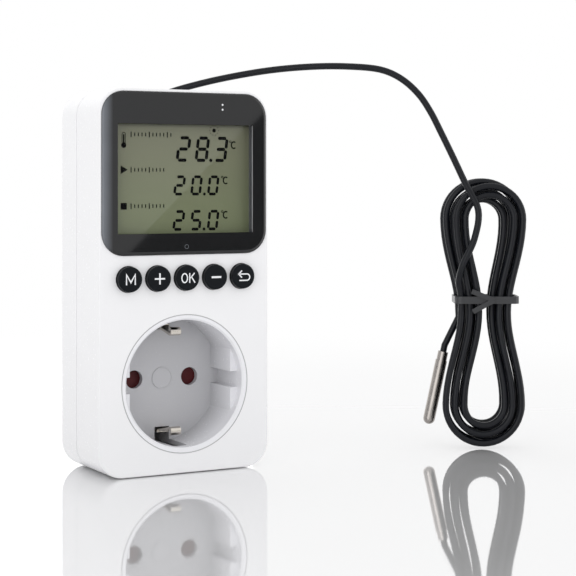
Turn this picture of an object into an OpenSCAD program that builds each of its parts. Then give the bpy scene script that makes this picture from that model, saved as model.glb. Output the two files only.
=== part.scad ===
// Plug-in temperature controller with a pass-through socket and a corded sensor.
// It stands upright: X runs across it, the front faces -Y, the plug points +Y and +Z is up.
// Depths named _u are measured backwards from the front face of the case.

/* [Case] */
// Width of the case
case_w = 57; // [54:1:66]
// Height of the case
case_h = 117; // [112:1:130]
// Depth of the case from its face to the shelf behind the cord
case_d = 31; // [30:0.5:36]
// Depth of the front shell
front_d = 17.5; // [15:0.5:20]
// Corner radius of the case
case_r = 8; // [6:0.5:9]
// Wall of both shells
wall = 2; // [1.6:0.1:2.4]
// Thickness of the front wall
face_t = 2.4; // [2.2:0.1:2.8]
// Rounding of the front edge
front_edge = 0.6; // [0.3:0.1:1]
// Rounding of the rear edge
rear_edge = 1.2; // [0.6:0.1:1.6]
// Height of the raised back
back_h = 3; // [2.4:0.2:3.4]
// Step from the side of the case to the foot of the raised back
back_inset = 1.5; // [1:0.1:2]
// Distance from the top of the case to the raised back
back_drop = 13.8; // [13:0.2:16]
// Corner radius of the raised back
back_r = 8; // [6:0.5:10]
// Rounding of the raised back's edge
back_edge = 2.4; // [1.6:0.2:2.8]

/* [Display] */
// Rim of case left round the window
window_rim = 0.9; // [0.7:0.1:1.4]
// Distance from the middle of the keys up to the window
key_to_window = 7.1; // [6.5:0.1:8]
// Thickness of the window
window_t = 2; // [1.8:0.1:2.2]
// How far the window stands proud of the face
window_proud = 0.8; // [0.6:0.1:1]
// Band of the window beside the clear field
field_side = 4.9; // [4.5:0.1:7]
// Band of the window above the clear field
field_over = 9.7; // [9:0.1:12]
// Band of the window below the clear field
field_under = 6.5; // [6:0.1:9]
// Thickness of the liquid crystal glass
glass_t = 2; // [1.6:0.1:2.4]
// Thickness of the light guide
guide_t = 2.8; // [2:0.1:3.2]

/* [Keys] */
// Gap between the tops of two keys
key_gap = 1.8; // [1.2:0.1:2]
// Distance from the side of the case to the middle of the first key
key_side = 9.5; // [9:0.1:12]
// Distance from the middle of the socket up to the middle of the keys
key_rise = 32.4; // [31.5:0.1:33.5]
// How far a key stands proud
key_proud = 2; // [1.4:0.1:2.4]
// Travel of a key
key_travel = 0.6; // [0.3:0.1:0.7]

/* [Socket] */
// Diameter of the well
well_d = 39; // [38.6:0.1:39.4]
// Depth of the well
well_d_in = 17.5; // [17:0.1:18]
// Width of the socket's rim
rim_w = 1.5; // [1.2:0.1:1.8]
// Height of the socket's centre
socket_z = 27.2; // [27:0.1:28]
// Distance between the pin holes
pin_pitch = 19; // [18.8:0.1:19.2]
// Diameter of a pin hole
hole_d = 5.7; // [5.2:0.1:6]
// Distance across the flats of the well
well_flat = 34; // [33:0.2:35]
// Width of the guide groove
groove_w = 5; // [4.6:0.1:5.4]
// Depth at which the flats begin
flat_u = 3.5; // [2.5:0.1:5]

/* [Plug] */
// Diameter of the plug
plug_d = 37; // [36.6:0.1:37.4]
// Height of the plug above its platform
plug_h = 17.5; // [17:0.1:18]
// Distance across the flats of the plug
plug_flat = 32; // [31:0.2:33]
// Distance across the guide ribs
rib_span = 36.2; // [35.6:0.1:36.4]
// Width of a guide rib
rib_w = 4.2; // [3.8:0.1:4.4]
// Height of the round platform
platform_h = 3; // [2.4:0.2:3.6]
// Distance from the raised back's side to the foot of the platform
platform_in = 0.5; // [0.2:0.1:2]
// Diameter of a plug pin
pin_d = 4.8; // [4.7:0.05:4.85]
// Length of a plug pin
pin_l = 19; // [18.5:0.1:19.5]

/* [Boards] */
// Thickness of a circuit board
board_t = 1.6; // [1.2:0.1:2]
// Depth of the control board's front
control_u = 9; // [8.6:0.1:9.4]
// Height of the relay
relay_h = 15.7; // [12:0.1:16]

/* [Cord] */
// Diameter of the sensor cord
cord_d = 2.2; // [2:0.1:2.4]
// Diameter of the probe
probe_d = 4; // [3.6:0.1:5]
// Length of the probe
probe_l = 25; // [20:1:30]
// Diameter of the grommet's head
grommet_d = 9.4; // [8:0.2:10.6]

/* [Hidden] */
$fn = 64;

// Shared clearances
over = 0.1;      // overrun of every cut
snug = 0.1;      // between parts that locate each other
slack = 0.3;     // between parts that only lie near each other
running = 0.05;  // round a shaft in its hole

// Depths of the main faces
case_u = case_d;
back_u = case_u + back_h;
platform_u = back_u + platform_h;
plug_u = platform_u + plug_h;
tip_u = plug_u + pin_l;
inner_u = case_u - wall;
back_inner_u = back_u - wall;
face_y = (key_proud - tip_u) / 2;

// Half sizes of the case's hollow
hollow_w = case_w - 2 * wall;
hollow_h = case_h - 2 * wall;
back_w = case_w - 2 * back_inset;
back_top_z = case_h - back_drop;
platform_d = back_w - 2 * platform_in;

// Joint between the shells
lip_t = 1;
lip_l = 2;
groove_t = 0.35;

// Row of keys
key_count = 5;
key_pitch = (case_w - 2 * key_side) / (key_count - 1);
key_d = key_pitch - key_gap;
key_z = socket_z + key_rise;

// Window and display
window_w = case_w - 2 * window_rim;
window_top = case_h - window_rim;
window_bottom = key_z + key_to_window;
window_h = window_top - window_bottom;
field_w = window_w - 2 * field_side;
field_h = window_h - field_over - field_under;
field_z = window_bottom + field_under + field_h / 2;
window_z = window_top - window_h / 2;
window_r = case_r - window_rim;
window_edge = 0.7;
window_seat_u = window_t - window_proud;
bezel = 0.8;
glass_margin = 2.3;
glass_w = field_w + 2 * glass_margin;
glass_h = field_h + 2 * glass_margin;
frame_t = 0.8;
frame_w = glass_w + 2 * (frame_t + snug);
frame_h = glass_h + 2 * (frame_t + snug);
glass_u = face_t + snug;
guide_u = glass_u + glass_t;
guide_end_u = guide_u + guide_t;
strip_t = 1.8;
lamp_x = 12.2;
lamp_gap = 1.5;
lamp_d = 1;
lamp_drop = 5;
lamp_z = window_top - lamp_drop;
ring_lamp_up = 2.4;
ring_lamp_z = window_bottom + ring_lamp_up;

// Keys and their switches
key_hole_gap = 0.2;
key_flange = 0.5;
key_flange_t = 0.8;
key_stem_l = 1.2;
key_back_u = face_t + snug + key_flange_t + key_stem_l;
switch_gap = key_travel + snug;
switch_w = 4.5;
plunger_d = 2;
plunger_l = 0.8;
switch_u = key_back_u + switch_gap;

// Socket
well_r = well_d / 2;
rim_r = well_r + rim_w;
tube_t = 1.4;
tube_r = well_r + tube_t;
plug_r = plug_d / 2;
insert_step = 1.6;
insert_flange_r = rim_r + insert_step;
insert_flange_t = 1.2;
floor_t = 2;
floor_u = well_d_in;
floor_end_u = floor_u + floor_t;
skirt_wall = 2.7;
skirt_r = tube_r - skirt_wall;
skirt_l = 6;
skirt_end_u = floor_end_u + skirt_l;
earth_slot_w = 5;
earth_slot_u = 4;
slot_in = 0.7;        // from the earth contact's inner face to its slot
slot_out = 5.2;
earth_in = 2.5;        // from the side of the plug to the earth contacts
earth_z = plug_r - earth_in;
disc_r = 3.4;
disc_t = 0.3;
rim_bevel = 0.5;

// Shutter and its pivot
shutter_t = 1.6;
shutter_u = floor_end_u + slack;
shutter_end_u = shutter_u + shutter_t;
shutter_r = 3.4;
shutter_hub_r = 3.2;
shutter_bar = 4;
pivot_d = 3;
block_u = shutter_end_u + slack;
block_end_u = inner_u - snug;
block_r = skirt_r - 2 * snug;
spring_wire = 0.4;
spring_r = 2.3;
spring_turns = 3;
spring_pocket_r = 3;
spring_pocket_d = 2.6;

// Contacts
sleeve_wall = 0.6;
sleeve_bore = pin_d + 2 * running;
sleeve_r = sleeve_bore / 2 + sleeve_wall;
sleeve_sink = 1;
sleeve_u = block_u + sleeve_sink;
strap_t = 0.8;
strap_w = 3;
strap_rise = 22;
strap_top_z = socket_z + strap_rise;
strap_gap = 0.5;
contact_strap_u = block_end_u + snug;
pin_strap_u = contact_strap_u + strap_t + strap_gap;
earth_w = 4;
earth_t = 0.8;
earth_clip_w = 3.4;    // the clip is narrower than its slot
earth_tip_u = 6.8;
earth_bulge = 2;
earth_roll_r = 1.3;
bridge_t = 0.6;

// Plug
plug_edge = 1.5;
flange_r = 20.4;
lip_r = 22.3;
lip_u = back_inner_u;
lip_d = 1.5;
flange_u = lip_u + lip_d;
cup_side = 4.1;
cup_r = pin_pitch / 2 + cup_side;
plug_face_t = 3;
cup_end_u = plug_u - plug_face_t;
pin_root_d = 4;
notch_in = earth_z - snug;
earth_notch_w = 3.4;
plus_w = 6;
plus_t = 1.1;
plus_d = 3;
mark_t = 0.25;
mark_z = 9.3;
mark_ring = 0.5;
mark_r = 3.35;
bar_half = 1.9;
bar_t = 0.4;
bar_pitch = 0.8;
bar_shares = [1, 0.68, 0.36];

// Control board
control_side = 1.5;   // from the side wall to the board
control_w = hollow_w - 2 * control_side;
control_gap = 2.2;    // from the socket's tube to the board
control_head = 1;     // from the board to the top wall
control_bottom = socket_z + well_d / 2 + tube_t + control_gap;
control_top = case_h - wall - control_head;
control_end_u = control_u + board_t;
boss_d = 4;
screw_d = 2;
screw_head_d = 3.8;
screw_head_t = 1.3;
low_screw_x = key_pitch * 3 / 2;
low_screw_z = control_bottom + boss_d / 2;
high_screw_side = 5;
high_screw_x = control_w / 2 - high_screw_side;
high_screw_z = control_top - boss_d / 2;
notch_w = 8;
notch_h = 2.6;

// Power board, which stands in the raised back
power_margin = 1.6;   // from the side wall of the raised back to the board
power_w = back_w - 2 * (back_edge + wall + power_margin);
power_foot = 9.3;     // from the earth bar's end to the board
power_head = 2;
power_side = 3;       // from the board's edge to its screws
power_bottom = socket_z + flange_r + power_foot;
power_top = back_top_z - wall - back_edge - power_head;
power_h = power_top - power_bottom;
power_gap = 1.8;
power_end_u = back_inner_u - power_gap;
power_u = power_end_u - board_t;
power_screw_x = power_w / 2 - power_side;
power_screw_low = power_bottom + power_side;
power_screw_high = power_top - power_side;
fuse_d = 5.2;
fuse_share = 0.1;
fuse_z = power_bottom + power_h * fuse_share;

// Case screws
case_screw_side = 6.8;
case_screw_x = case_w / 2 - case_screw_side;
case_screw_up = 21;   // above the socket's centre
case_screw_z = socket_z + case_screw_up;
cover_d = 6.4;
cover_sink = 0.1;
tower_d = 8;
tower_l = 2;
tower_u = inner_u - tower_l;
tower_seat_t = 1.5;
pillar_d = 6;
case_screw_d = 3;
case_head_d = 5.4;
case_head_t = 1.8;
case_screw_l = 12;

// Label
label_side = 6;
label_w = back_w - 2 * label_side;
label_foot = 2.6;     // from the platform up to the label
label_head = 5.9;     // from the label up to the rounded top of the raised back
label_low = socket_z + platform_d / 2 + label_foot;
label_top = back_top_z - back_edge - label_head;
label_h = label_top - label_low;
label_t = 0.2;
label_z = (label_low + label_top) / 2;
label_r = 0.8;

// Grommet and the lead inside the case
grommet_z = back_top_z + grommet_d / 2 + 2 * snug;
grommet_neck_r = 3.2;
grommet_head_t = 2.4;
grommet_groove = 1;
grommet_inner_t = 1.6;
grommet_end_u = case_u + grommet_head_t;
connector_l = 7;
connector_w = 6;
connector_h = 4.6;
connector_end_u = control_end_u + connector_l;
cord_r = cord_d / 2;

// Flat shapes, drawn in X and Z
module rounded(w, h, r) {
  square([w - 2 * r, h], center = true);
  square([w, h - 2 * r], center = true);
  for (x = [-1, 1], z = [-1, 1]) translate([x * (w / 2 - r), z * (h / 2 - r)]) circle(r);
}

// Half of the outline of a slab with one rounded edge, from its axis outwards
module half_outline(half, d, e) {
  translate([0, e]) square([half, d - e]);
  square([half - e, e]);
  intersection() {
    translate([half - e, e]) circle(e);
    translate([half - e, 0]) square([e, e]);
  }
}

module outline(half, d, e) {
  half_outline(half, d, e);
  mirror([1, 0]) half_outline(half, d, e);
}

// Solids placed by depth from the face
module span_u(u0, u1) {
  translate([0, face_y + u1, 0]) rotate([90, 0, 0]) linear_extrude(u1 - u0) children();
}

module turned(x, z) {
  translate([x, face_y, z]) rotate([-90, 0, 0]) rotate_extrude() children();
}

module rod(x, z, r, u0, u1) {
  span_u(u0, u1) translate([x, z]) circle(r);
}

module block(x0, x1, u0, u1, z0, z1) {
  translate([x0, face_y + u0, z0]) cube([x1 - x0, u1 - u0, z1 - z0]);
}

// A slab with rounded corners whose front edge, at depth zero, is rounded too
module pillow(w, h, r, d, e) {
  translate([0, 0, -(h / 2 - r)]) linear_extrude(h - 2 * r) outline(w / 2, d, e);
  translate([-(w / 2 - r), 0, 0]) rotate([0, 90, 0]) linear_extrude(w - 2 * r)
    outline(h / 2, d, e);
  for (x = [-1, 1], z = [-1, 1]) translate([x * (w / 2 - r), 0, z * (h / 2 - r)])
    rotate([-90, 0, 0]) rotate_extrude() half_outline(r, d, e);
}

module pillow_front(u, z, w, h, r, d, e) {
  translate([0, face_y + u, z]) pillow(w, h, r, d, e);
}

module pillow_back(u, z, w, h, r, d, e) {
  translate([0, face_y + u, z]) mirror([0, 1, 0]) pillow(w, h, r, d, e);
}

// Case
module front_shell() {
  color("whitesmoke") difference() {
    union() {
      difference() {
        pillow_front(0, case_h / 2, case_w, case_h, case_r, front_d, front_edge);
        span_u(face_t, front_d + over) translate([0, case_h / 2])
          rounded(hollow_w, hollow_h, case_r - wall);
      }
      for (x = [-1, 1]) {
        rod(x * case_screw_x, case_screw_z, pillar_d / 2, face_t - over, tower_u - snug);
        rod(x * low_screw_x, low_screw_z, boss_d / 2, face_t - over, control_u);
        rod(x * high_screw_x, high_screw_z, boss_d / 2, face_t - over, control_u);
      }
    }
    span_u(-over, window_seat_u) translate([0, window_z])
      rounded(window_w + 2 * snug, window_h + 2 * snug, window_r + snug);
    span_u(0, face_t + over) translate([0, field_z])
      square([field_w + 2 * bezel, field_h + 2 * bezel], center = true);
    rod(0, socket_z, rim_r + snug, -over, face_t + over);
    for (i = [0 : key_count - 1])
      rod(key_x(i), key_z, key_d / 2 + key_hole_gap, -over, face_t + over);
    for (z = [0, lamp_gap]) rod(lamp_x, lamp_z + z, lamp_d / 2 + snug, 0, face_t + over);
    rod(0, ring_lamp_z, lamp_d / 2 + snug, 0, face_t + over);
    for (x = [-1, 1])
      rod(x * case_screw_x, case_screw_z, case_screw_d / 2 - snug,
        tower_u - case_screw_l, tower_u);
    for (x = [-1, 1]) {
      rod(x * low_screw_x, low_screw_z, screw_d / 2 - snug, face_t + over, control_u + over);
      rod(x * high_screw_x, high_screw_z, screw_d / 2 - snug, face_t + over, control_u + over);
    }
  }
}

function key_x(i) = (i - (key_count - 1) / 2) * key_pitch;

module rear_outer() {
  pillow_back(case_u, case_h / 2, case_w, case_h, case_r, case_d - front_d - groove_t, rear_edge);
  span_u(front_d, front_d + groove_t + over) translate([0, case_h / 2])
    rounded(case_w - 2 * groove_t, case_h - 2 * groove_t, case_r - groove_t);
  pillow_back(back_u, (back_top_z + back_inset) / 2, back_w, back_top_z - back_inset, back_r,
    back_h + over, back_edge);
  intersection() {
    turned(0, socket_z) polygon([[0, case_u - over], [platform_d / 2, case_u - over],
      [platform_d / 2, back_u], [platform_d / 2 - platform_h / 2, platform_u], [0, platform_u]]);
    span_u(case_u - over, platform_u + over) translate([0, case_h / 2])
      rounded(case_w, case_h, case_r);
  }
}

module rear_shell() {
  color("whitesmoke") difference() {
    union() {
      difference() {
        rear_outer();
        span_u(front_d - over, inner_u) translate([0, case_h / 2])
          rounded(hollow_w, hollow_h, case_r - wall);
        span_u(inner_u - over, back_inner_u) translate([0, (back_top_z + back_inset) / 2])
          rounded(back_w - 2 * back_edge - 2 * wall, back_top_z - back_inset - 2 * wall
            - 2 * back_edge, back_r - wall - back_edge / 2);
      }
      difference() {
        span_u(front_d - lip_l, front_d + lip_l) translate([0, case_h / 2])
          rounded(hollow_w - 2 * snug, hollow_h - 2 * snug, case_r - wall - snug);
        span_u(front_d - lip_l - over, front_d + lip_l + over) translate([0, case_h / 2])
          rounded(hollow_w - 2 * snug - 2 * lip_t, hollow_h - 2 * snug - 2 * lip_t,
            case_r - wall - snug - lip_t);
        for (x = [-1, 1]) rod(x * high_screw_x, high_screw_z, screw_head_d, 0, inner_u);
      }
      difference() {
        span_u(front_d, front_d + lip_l) translate([0, case_h / 2])
          rounded(hollow_w + 2 * over, hollow_h + 2 * over, case_r - wall + over);
        span_u(front_d - over, front_d + lip_l + over) translate([0, case_h / 2])
          rounded(hollow_w - 2 * snug - 2 * lip_t, hollow_h - 2 * snug - 2 * lip_t,
            case_r - wall - snug - lip_t);
      }
      for (x = [-1, 1]) {
        rod(x * case_screw_x, case_screw_z, tower_d / 2, tower_u, back_inner_u + over);
        for (z = [power_screw_low, power_screw_high])
          rod(x * power_screw_x, z, boss_d / 2, power_end_u, back_inner_u + over);
      }
    }
    rod(0, socket_z, flange_r + snug, inner_u, platform_u + over);
    rod(0, socket_z, lip_r + snug, inner_u, flange_u + snug);
    rod(0, grommet_z, grommet_neck_r + snug, inner_u - over, case_u + over);
    for (x = [-1, 1]) {
      rod(x * case_screw_x, case_screw_z, cover_d / 2 + snug, tower_u + tower_seat_t, back_u + over);
      rod(x * case_screw_x, case_screw_z, case_screw_d / 2 + snug, tower_u - over, back_u);
      for (z = [power_screw_low, power_screw_high])
        rod(x * power_screw_x, z, screw_d / 2 - snug, power_end_u - over, back_inner_u + wall / 2);
    }
  }
}

// Display
module display_window() {
  color([0.16, 0.17, 0.18, 0.6])
    pillow_front(-window_proud, window_z, window_w, window_h, window_r, window_t, window_edge);
}

module lcd_panel() {
  color("darkolivegreen")
    block(-glass_w / 2, glass_w / 2, glass_u, guide_u, field_z - glass_h / 2, field_z + glass_h / 2);
}

module light_guide() {
  color("honeydew")
    block(-glass_w / 2, glass_w / 2, guide_u, guide_end_u, field_z - glass_h / 2 + strip_t + slack,
      field_z + glass_h / 2);
}

module lcd_frame() {
  color("white") difference() {
    block(-frame_w / 2, frame_w / 2, glass_u, control_u, field_z - frame_h / 2, field_z + frame_h / 2);
    block(-glass_w / 2 - snug, glass_w / 2 + snug, glass_u - over, control_u + over,
      field_z - glass_h / 2 - snug, field_z + glass_h / 2 + snug);
  }
}

module contact_strip() {
  color("hotpink")
    block(-glass_w / 2, glass_w / 2, guide_u, control_u, field_z - glass_h / 2,
      field_z - glass_h / 2 + strip_t);
}

// Control board and what it carries
module control_board() {
  color("darkgreen") difference() {
    intersection() {
      span_u(control_u, control_end_u) translate([0, case_h / 2])
        rounded(control_w, hollow_h - 2 * control_head, case_r - wall);
      block(-control_w / 2 - over, control_w / 2 + over, control_u - over, control_end_u + over,
        control_bottom, control_top + over);
    }
    for (x = [-1, 1]) {
      translate([x * (control_w - notch_w) / 2, 0, 0])
        block(-notch_w / 2 - over, notch_w / 2 + over, control_u - over, control_end_u + over,
          control_bottom - over, control_bottom + notch_h);
      rod(x * low_screw_x, low_screw_z, screw_d / 2 + snug, control_u - over, control_end_u + over);
      rod(x * high_screw_x, high_screw_z, screw_d / 2 + snug, control_u - over, control_end_u + over);
    }
  }
}

module control_chip() {
  chip_w = 9;
  chip_t = 1.2;
  color("dimgray")
    block(-chip_w / 2, chip_w / 2, control_end_u, control_end_u + chip_t, key_z + chip_w,
      key_z + 2 * chip_w);
}

module indicator_lamps() {
  color("white") {
    for (z = [0, lamp_gap]) rod(lamp_x, lamp_z + z, lamp_d / 2, window_seat_u, control_u);
    rod(0, ring_lamp_z, lamp_d / 2, window_seat_u, control_u);
  }
}

module key_switches() {
  color("gray") for (i = [0 : key_count - 1]) {
    translate([key_x(i), 0, key_z])
      block(-switch_w / 2, switch_w / 2, switch_u + plunger_l, control_u, -switch_w / 2, switch_w / 2);
    rod(key_x(i), key_z, plunger_d / 2, switch_u, switch_u + plunger_l + over);
  }
}

module board_screws() {
  color("silver") for (x = [-1, 1]) {
    for (p = [[low_screw_x, low_screw_z], [high_screw_x, high_screw_z]]) {
      rod(x * p[0], p[1], screw_head_d / 2, control_end_u, control_end_u + screw_head_t);
      rod(x * p[0], p[1], screw_d / 2 - snug, control_u - boss_d, control_end_u + over);
    }
    for (z = [power_screw_low, power_screw_high]) {
      rod(x * power_screw_x, z, screw_head_d / 2, power_u - screw_head_t, power_u);
      rod(x * power_screw_x, z, screw_d / 2 - snug, power_u - over, power_end_u + power_gap / 2);
    }
  }
}

// Power board and what it carries, facing the front
module power_board() {
  color("darkgreen") difference() {
    block(-power_w / 2, power_w / 2, power_u, power_end_u, power_bottom, power_top);
    for (x = [-1, 1], z = [power_screw_low, power_screw_high])
      rod(x * power_screw_x, z, screw_d / 2 + snug, power_u - over, power_end_u + over);
  }
}

module board_link() {
  x_share = 0.22;
  w_share = 0.25;
  link_x = power_w * x_share;
  link_w = power_w * w_share;
  link_h = 2.4;
  link_z = power_bottom + link_h / 2;
  color("black")
    block(link_x - link_w / 2, link_x + link_w / 2, control_end_u, power_u, link_z,
      link_z + link_h);
}

module relay() {
  w_share = 0.66;
  low_share = 0.5;
  relay_w = power_w * w_share;
  relay_edge = 0.7;
  relay_low = power_bottom + power_h * low_share;
  relay_top = power_screw_high - screw_head_d;
  color("royalblue") translate([-power_screw_x + relay_w / 2, face_y + power_u - relay_h,
    (relay_low + relay_top) / 2])
      pillow(relay_w, relay_top - relay_low, 2 * relay_edge, relay_h, relay_edge);
}

module transformer() {
  w_share = 0.33;
  top_share = 0.45;
  coil_share = 0.39;
  core_w = power_w * w_share;
  core_gap = 2.3;     // above the middle of the board's lower screws
  core_low = power_screw_low + core_gap;
  core_h = power_bottom + power_h * top_share - core_low;
  margin = 1;
  high = 12;
  x = power_w / 2 - core_w / 2 - margin;
  z = core_low + core_h / 2;
  yoke = 3;
  color("goldenrod") {
    for (u = [power_u - high, power_u - yoke]) translate([x, 0, z])
      block(-core_w / 2, core_w / 2, u, u + yoke, -core_h / 2, core_h / 2);
    rod(x, z, core_h * coil_share, power_u - high + yoke - over, power_u - yoke + over);
  }
}

module filter_capacitor() {
  w_share = 0.4;
  top_share = 0.42;
  cap_w = power_w * w_share;
  cap_h = 13;
  cap_edge = 0.6;
  fuse_gap = 0.9;
  margin = 1;
  cap_low = fuse_z + fuse_d / 2 + fuse_gap;
  cap_top = power_bottom + power_h * top_share;
  color("gold") translate([-power_w / 2 + cap_w / 2 + margin, face_y + power_u - cap_h,
    (cap_low + cap_top) / 2]) pillow(cap_w, cap_top - cap_low, 2 * cap_edge, cap_h, cap_edge);
}

// The can's diameter follows both sides of its board
module supply_capacitor() {
  d_share = 0.37;
  z_share = 0.605;
  can_d = power_w * power_h / (power_w + power_h) * d_share;
  can_h = 12;
  can_edge = 0.6;
  margin = 1;
  color("navy") translate([power_w / 2 - can_d / 2 - margin, face_y + power_u - can_h,
    power_bottom + power_h * z_share]) rotate([-90, 0, 0])
      rotate_extrude() half_outline(can_d / 2, can_h, can_edge);
}

module fuse() {
  l_share = 0.36;
  tube_l = power_w * l_share;
  cap_l = 4;
  left = -power_screw_x + screw_head_d;
  color("khaki") translate([left, face_y + power_u - fuse_d / 2, fuse_z]) rotate([0, 90, 0]) {
    cylinder(d = fuse_d - 2 * over, h = tube_l);
    cylinder(d = fuse_d, h = cap_l);
    translate([0, 0, tube_l - cap_l]) cylinder(d = fuse_d, h = cap_l);
  }
}

// Socket
module well_cut() {
  span_u(-over, flat_u) translate([0, socket_z]) circle(well_r);
  span_u(flat_u - over, floor_u) translate([0, socket_z]) intersection() {
    circle(well_r);
    union() {
      square([well_flat, well_d], center = true);
      square([well_d, groove_w], center = true);
    }
  }
  turned(0, socket_z) polygon([[0, -over], [well_r + rim_bevel + over, -over],
    [well_r, rim_bevel], [0, rim_bevel]]);
}

// Slots for the two earth contacts
module earth_slots(u0, u1, under) {
  for (s = [-1, 1]) translate([0, 0, socket_z]) scale([1, 1, s])
    block(-earth_slot_w / 2, earth_slot_w / 2, u0, u1, earth_z - under, earth_z + slot_out);
}

module socket_insert() {
  color("whitesmoke") difference() {
    union() {
      rod(0, socket_z, rim_r, 0, face_t + over);
      rod(0, socket_z, insert_flange_r, face_t + snug, face_t + snug + insert_flange_t);
      rod(0, socket_z, tube_r, 0, skirt_end_u);
    }
    difference() {
      well_cut();
      difference() {
        rod(0, socket_z, disc_r, floor_u - disc_t, floor_u + over);
        rod(0, socket_z, disc_r - disc_t, floor_u - disc_t - over, floor_u - disc_t / 2);
      }
    }
    rod(0, socket_z, skirt_r, floor_end_u, skirt_end_u + over);
    for (x = [-1, 1]) rod(x * pin_pitch / 2, socket_z, hole_d / 2, floor_u - over, floor_end_u + over);
    earth_slots(earth_slot_u, skirt_end_u + over, slot_in);
  }
}

module contact_block() {
  color("silver") difference() {
    union() {
      rod(0, socket_z, block_r, block_u, block_end_u);
      rod(0, socket_z, pivot_d / 2, floor_end_u + snug, block_u + over);
    }
    rod_ring(spring_pocket_r, pivot_d / 2, block_u - over, block_u + spring_pocket_d);
    for (x = [-1, 1]) rod(x * pin_pitch / 2, socket_z, sleeve_r + snug, block_u - over,
      block_end_u + over);
    earth_slots(block_u - over, block_end_u + over, snug);
  }
}

module rod_ring(outer, inner, u0, u1) {
  difference() {
    rod(0, socket_z, outer, u0, u1);
    rod(0, socket_z, inner, u0 - over, u1 + over);
  }
}

module shutter() {
  color("firebrick") difference() {
    union() {
      for (x = [-1, 1]) rod(x * pin_pitch / 2, socket_z, shutter_r, shutter_u, shutter_end_u);
      rod(0, socket_z, shutter_hub_r, shutter_u, shutter_end_u);
      span_u(shutter_u, shutter_end_u) translate([0, socket_z])
        square([pin_pitch, shutter_bar], center = true);
    }
    rod(0, socket_z, pivot_d / 2 + running, shutter_u - over, shutter_end_u + over);
  }
}

// Tubes swept along points: each ring is square to the route
function unit(v) = v / norm(v);
function way(p, i) = unit(p[min(i + 1, len(p) - 1)] - p[max(i - 1, 0)]);
function side_of(t, ref) = unit(cross(t, ref));
function ring_at(c, t, ref, r, n) = let (a = side_of(t, ref), b = cross(t, a))
  [for (k = [0 : n - 1]) c + r * (cos(360 * k / n) * a + sin(360 * k / n) * b)];

module tube(p, r, n, ref) {
  m = len(p);
  rings = [for (i = [0 : m - 1]) each ring_at(p[i], way(p, i), ref, r, n)];
  walls = [for (i = [0 : m - 2], k = [0 : n - 1]) let (a = i * n + k, b = i * n + (k + 1) % n)
    each [[a, a + n, b], [b, a + n, b + n]]];
  caps = [for (k = [1 : n - 2]) each [[0, k, k + 1], [(m - 1) * n, (m - 1) * n + k + 1, (m - 1) * n + k]]];
  polyhedron(points = rings, faces = concat(walls, caps), convexity = 6);
}

// A smooth run through hand-chosen points
function curve(a, b, c, d, t) = ((2 * b) + (c - a) * t + (2 * a - 5 * b + 4 * c - d) * t * t
  + (3 * b - a - 3 * c + d) * t * t * t) / 2;
function smooth(p, n) = [for (i = [0 : len(p) - 2], k = [0 : n - 1])
  curve(p[max(i - 1, 0)], p[i], p[i + 1], p[min(i + 2, len(p) - 1)], k / n), p[len(p) - 1]];

module shutter_spring() {
  steps = 8;
  pitch = spring_wire + 2 * snug;
  start = block_u + spring_wire / 2 + snug;
  turns = [for (i = [0 : steps * spring_turns]) let (a = 360 * i / steps)
    [spring_r * cos(a), start + pitch * i / steps, spring_r * sin(a)]];
  color("silver") translate([0, face_y, socket_z]) tube(turns, spring_wire / 2, 6, [0, 1, 0]);
}

module sleeve(x) {
  difference() {
    rod(x, socket_z, sleeve_r, sleeve_u, contact_strap_u + strap_t);
    rod(x, socket_z, sleeve_bore / 2, sleeve_u - over, contact_strap_u + strap_t + over);
    translate([x, 0, socket_z]) block(-sleeve_wall / 2, sleeve_wall / 2, sleeve_u - over,
      sleeve_u + 4 * sleeve_wall, -sleeve_r - over, sleeve_r + over);
  }
}

// A strap that leaves a sleeve or a pin and climbs to the wires
module strap(x, x_top, u, z0) {
  low = min(x, x_top) - strap_w / 2;
  high = max(x, x_top) + strap_w / 2;
  block(low, high, u, u + strap_t, socket_z + z0, socket_z + z0 + strap_w);
  block(x_top - strap_w / 2, x_top + strap_w / 2, u, u + strap_t, socket_z + z0, strap_top_z);
}

live_x = -pin_pitch / 2;
neutral_x = pin_pitch / 2;
switched_x = -5;

module live_contact() {
  color("tan") {
    sleeve(live_x);
    strap(live_x, switched_x, contact_strap_u, sleeve_r - sleeve_wall);
  }
}

module neutral_contact() {
  color("tan") {
    sleeve(neutral_x);
    strap(neutral_x, neutral_x, contact_strap_u, sleeve_r - sleeve_wall);
  }
}

// One earth strip: from the clip in the well to the notch of the plug
module earth_strip(s) {
  bar_end = plug_u - plus_d;
  translate([0, 0, socket_z]) scale([1, 1, s]) {
    block(-earth_w / 2, earth_w / 2, floor_u - earth_t, lip_u, earth_z + snug, earth_z + snug + earth_t);
    block(-earth_notch_w / 2 + snug, earth_notch_w / 2 - snug, lip_u - over, bar_end,
      earth_z + snug, earth_z + snug + earth_t);
    translate([-earth_clip_w / 2, face_y, earth_z + snug]) rotate([90, 0, 90])
      linear_extrude(earth_clip_w) earth_clip();
  }
}

// Side view of the clip: a sprung strip whose front end is rolled over towards the wall
module earth_clip() {
  roll_u = earth_tip_u + earth_roll_r;
  polygon([[roll_u - over, -earth_bulge], [floor_u, 0], [floor_u, earth_t],
    [roll_u - over, earth_t - earth_bulge]]);
  translate([roll_u, earth_roll_r - earth_bulge]) difference() {
    circle(earth_roll_r);
    circle(earth_roll_r - earth_t);
    translate([0, -2 * earth_roll_r]) square([2 * earth_roll_r, 4 * earth_roll_r]);
  }
}

module upper_earth_strip() {
  color("silver") earth_strip(1);
}

module lower_earth_strip() {
  color("silver") earth_strip(-1);
}

module earth_bridge() {
  r = earth_z + snug;
  color("silver") translate([0, 0, socket_z]) {
    block(-strap_w / 2, strap_w / 2, pin_strap_u, pin_strap_u + bridge_t, -r, r);
  }
}

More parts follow.
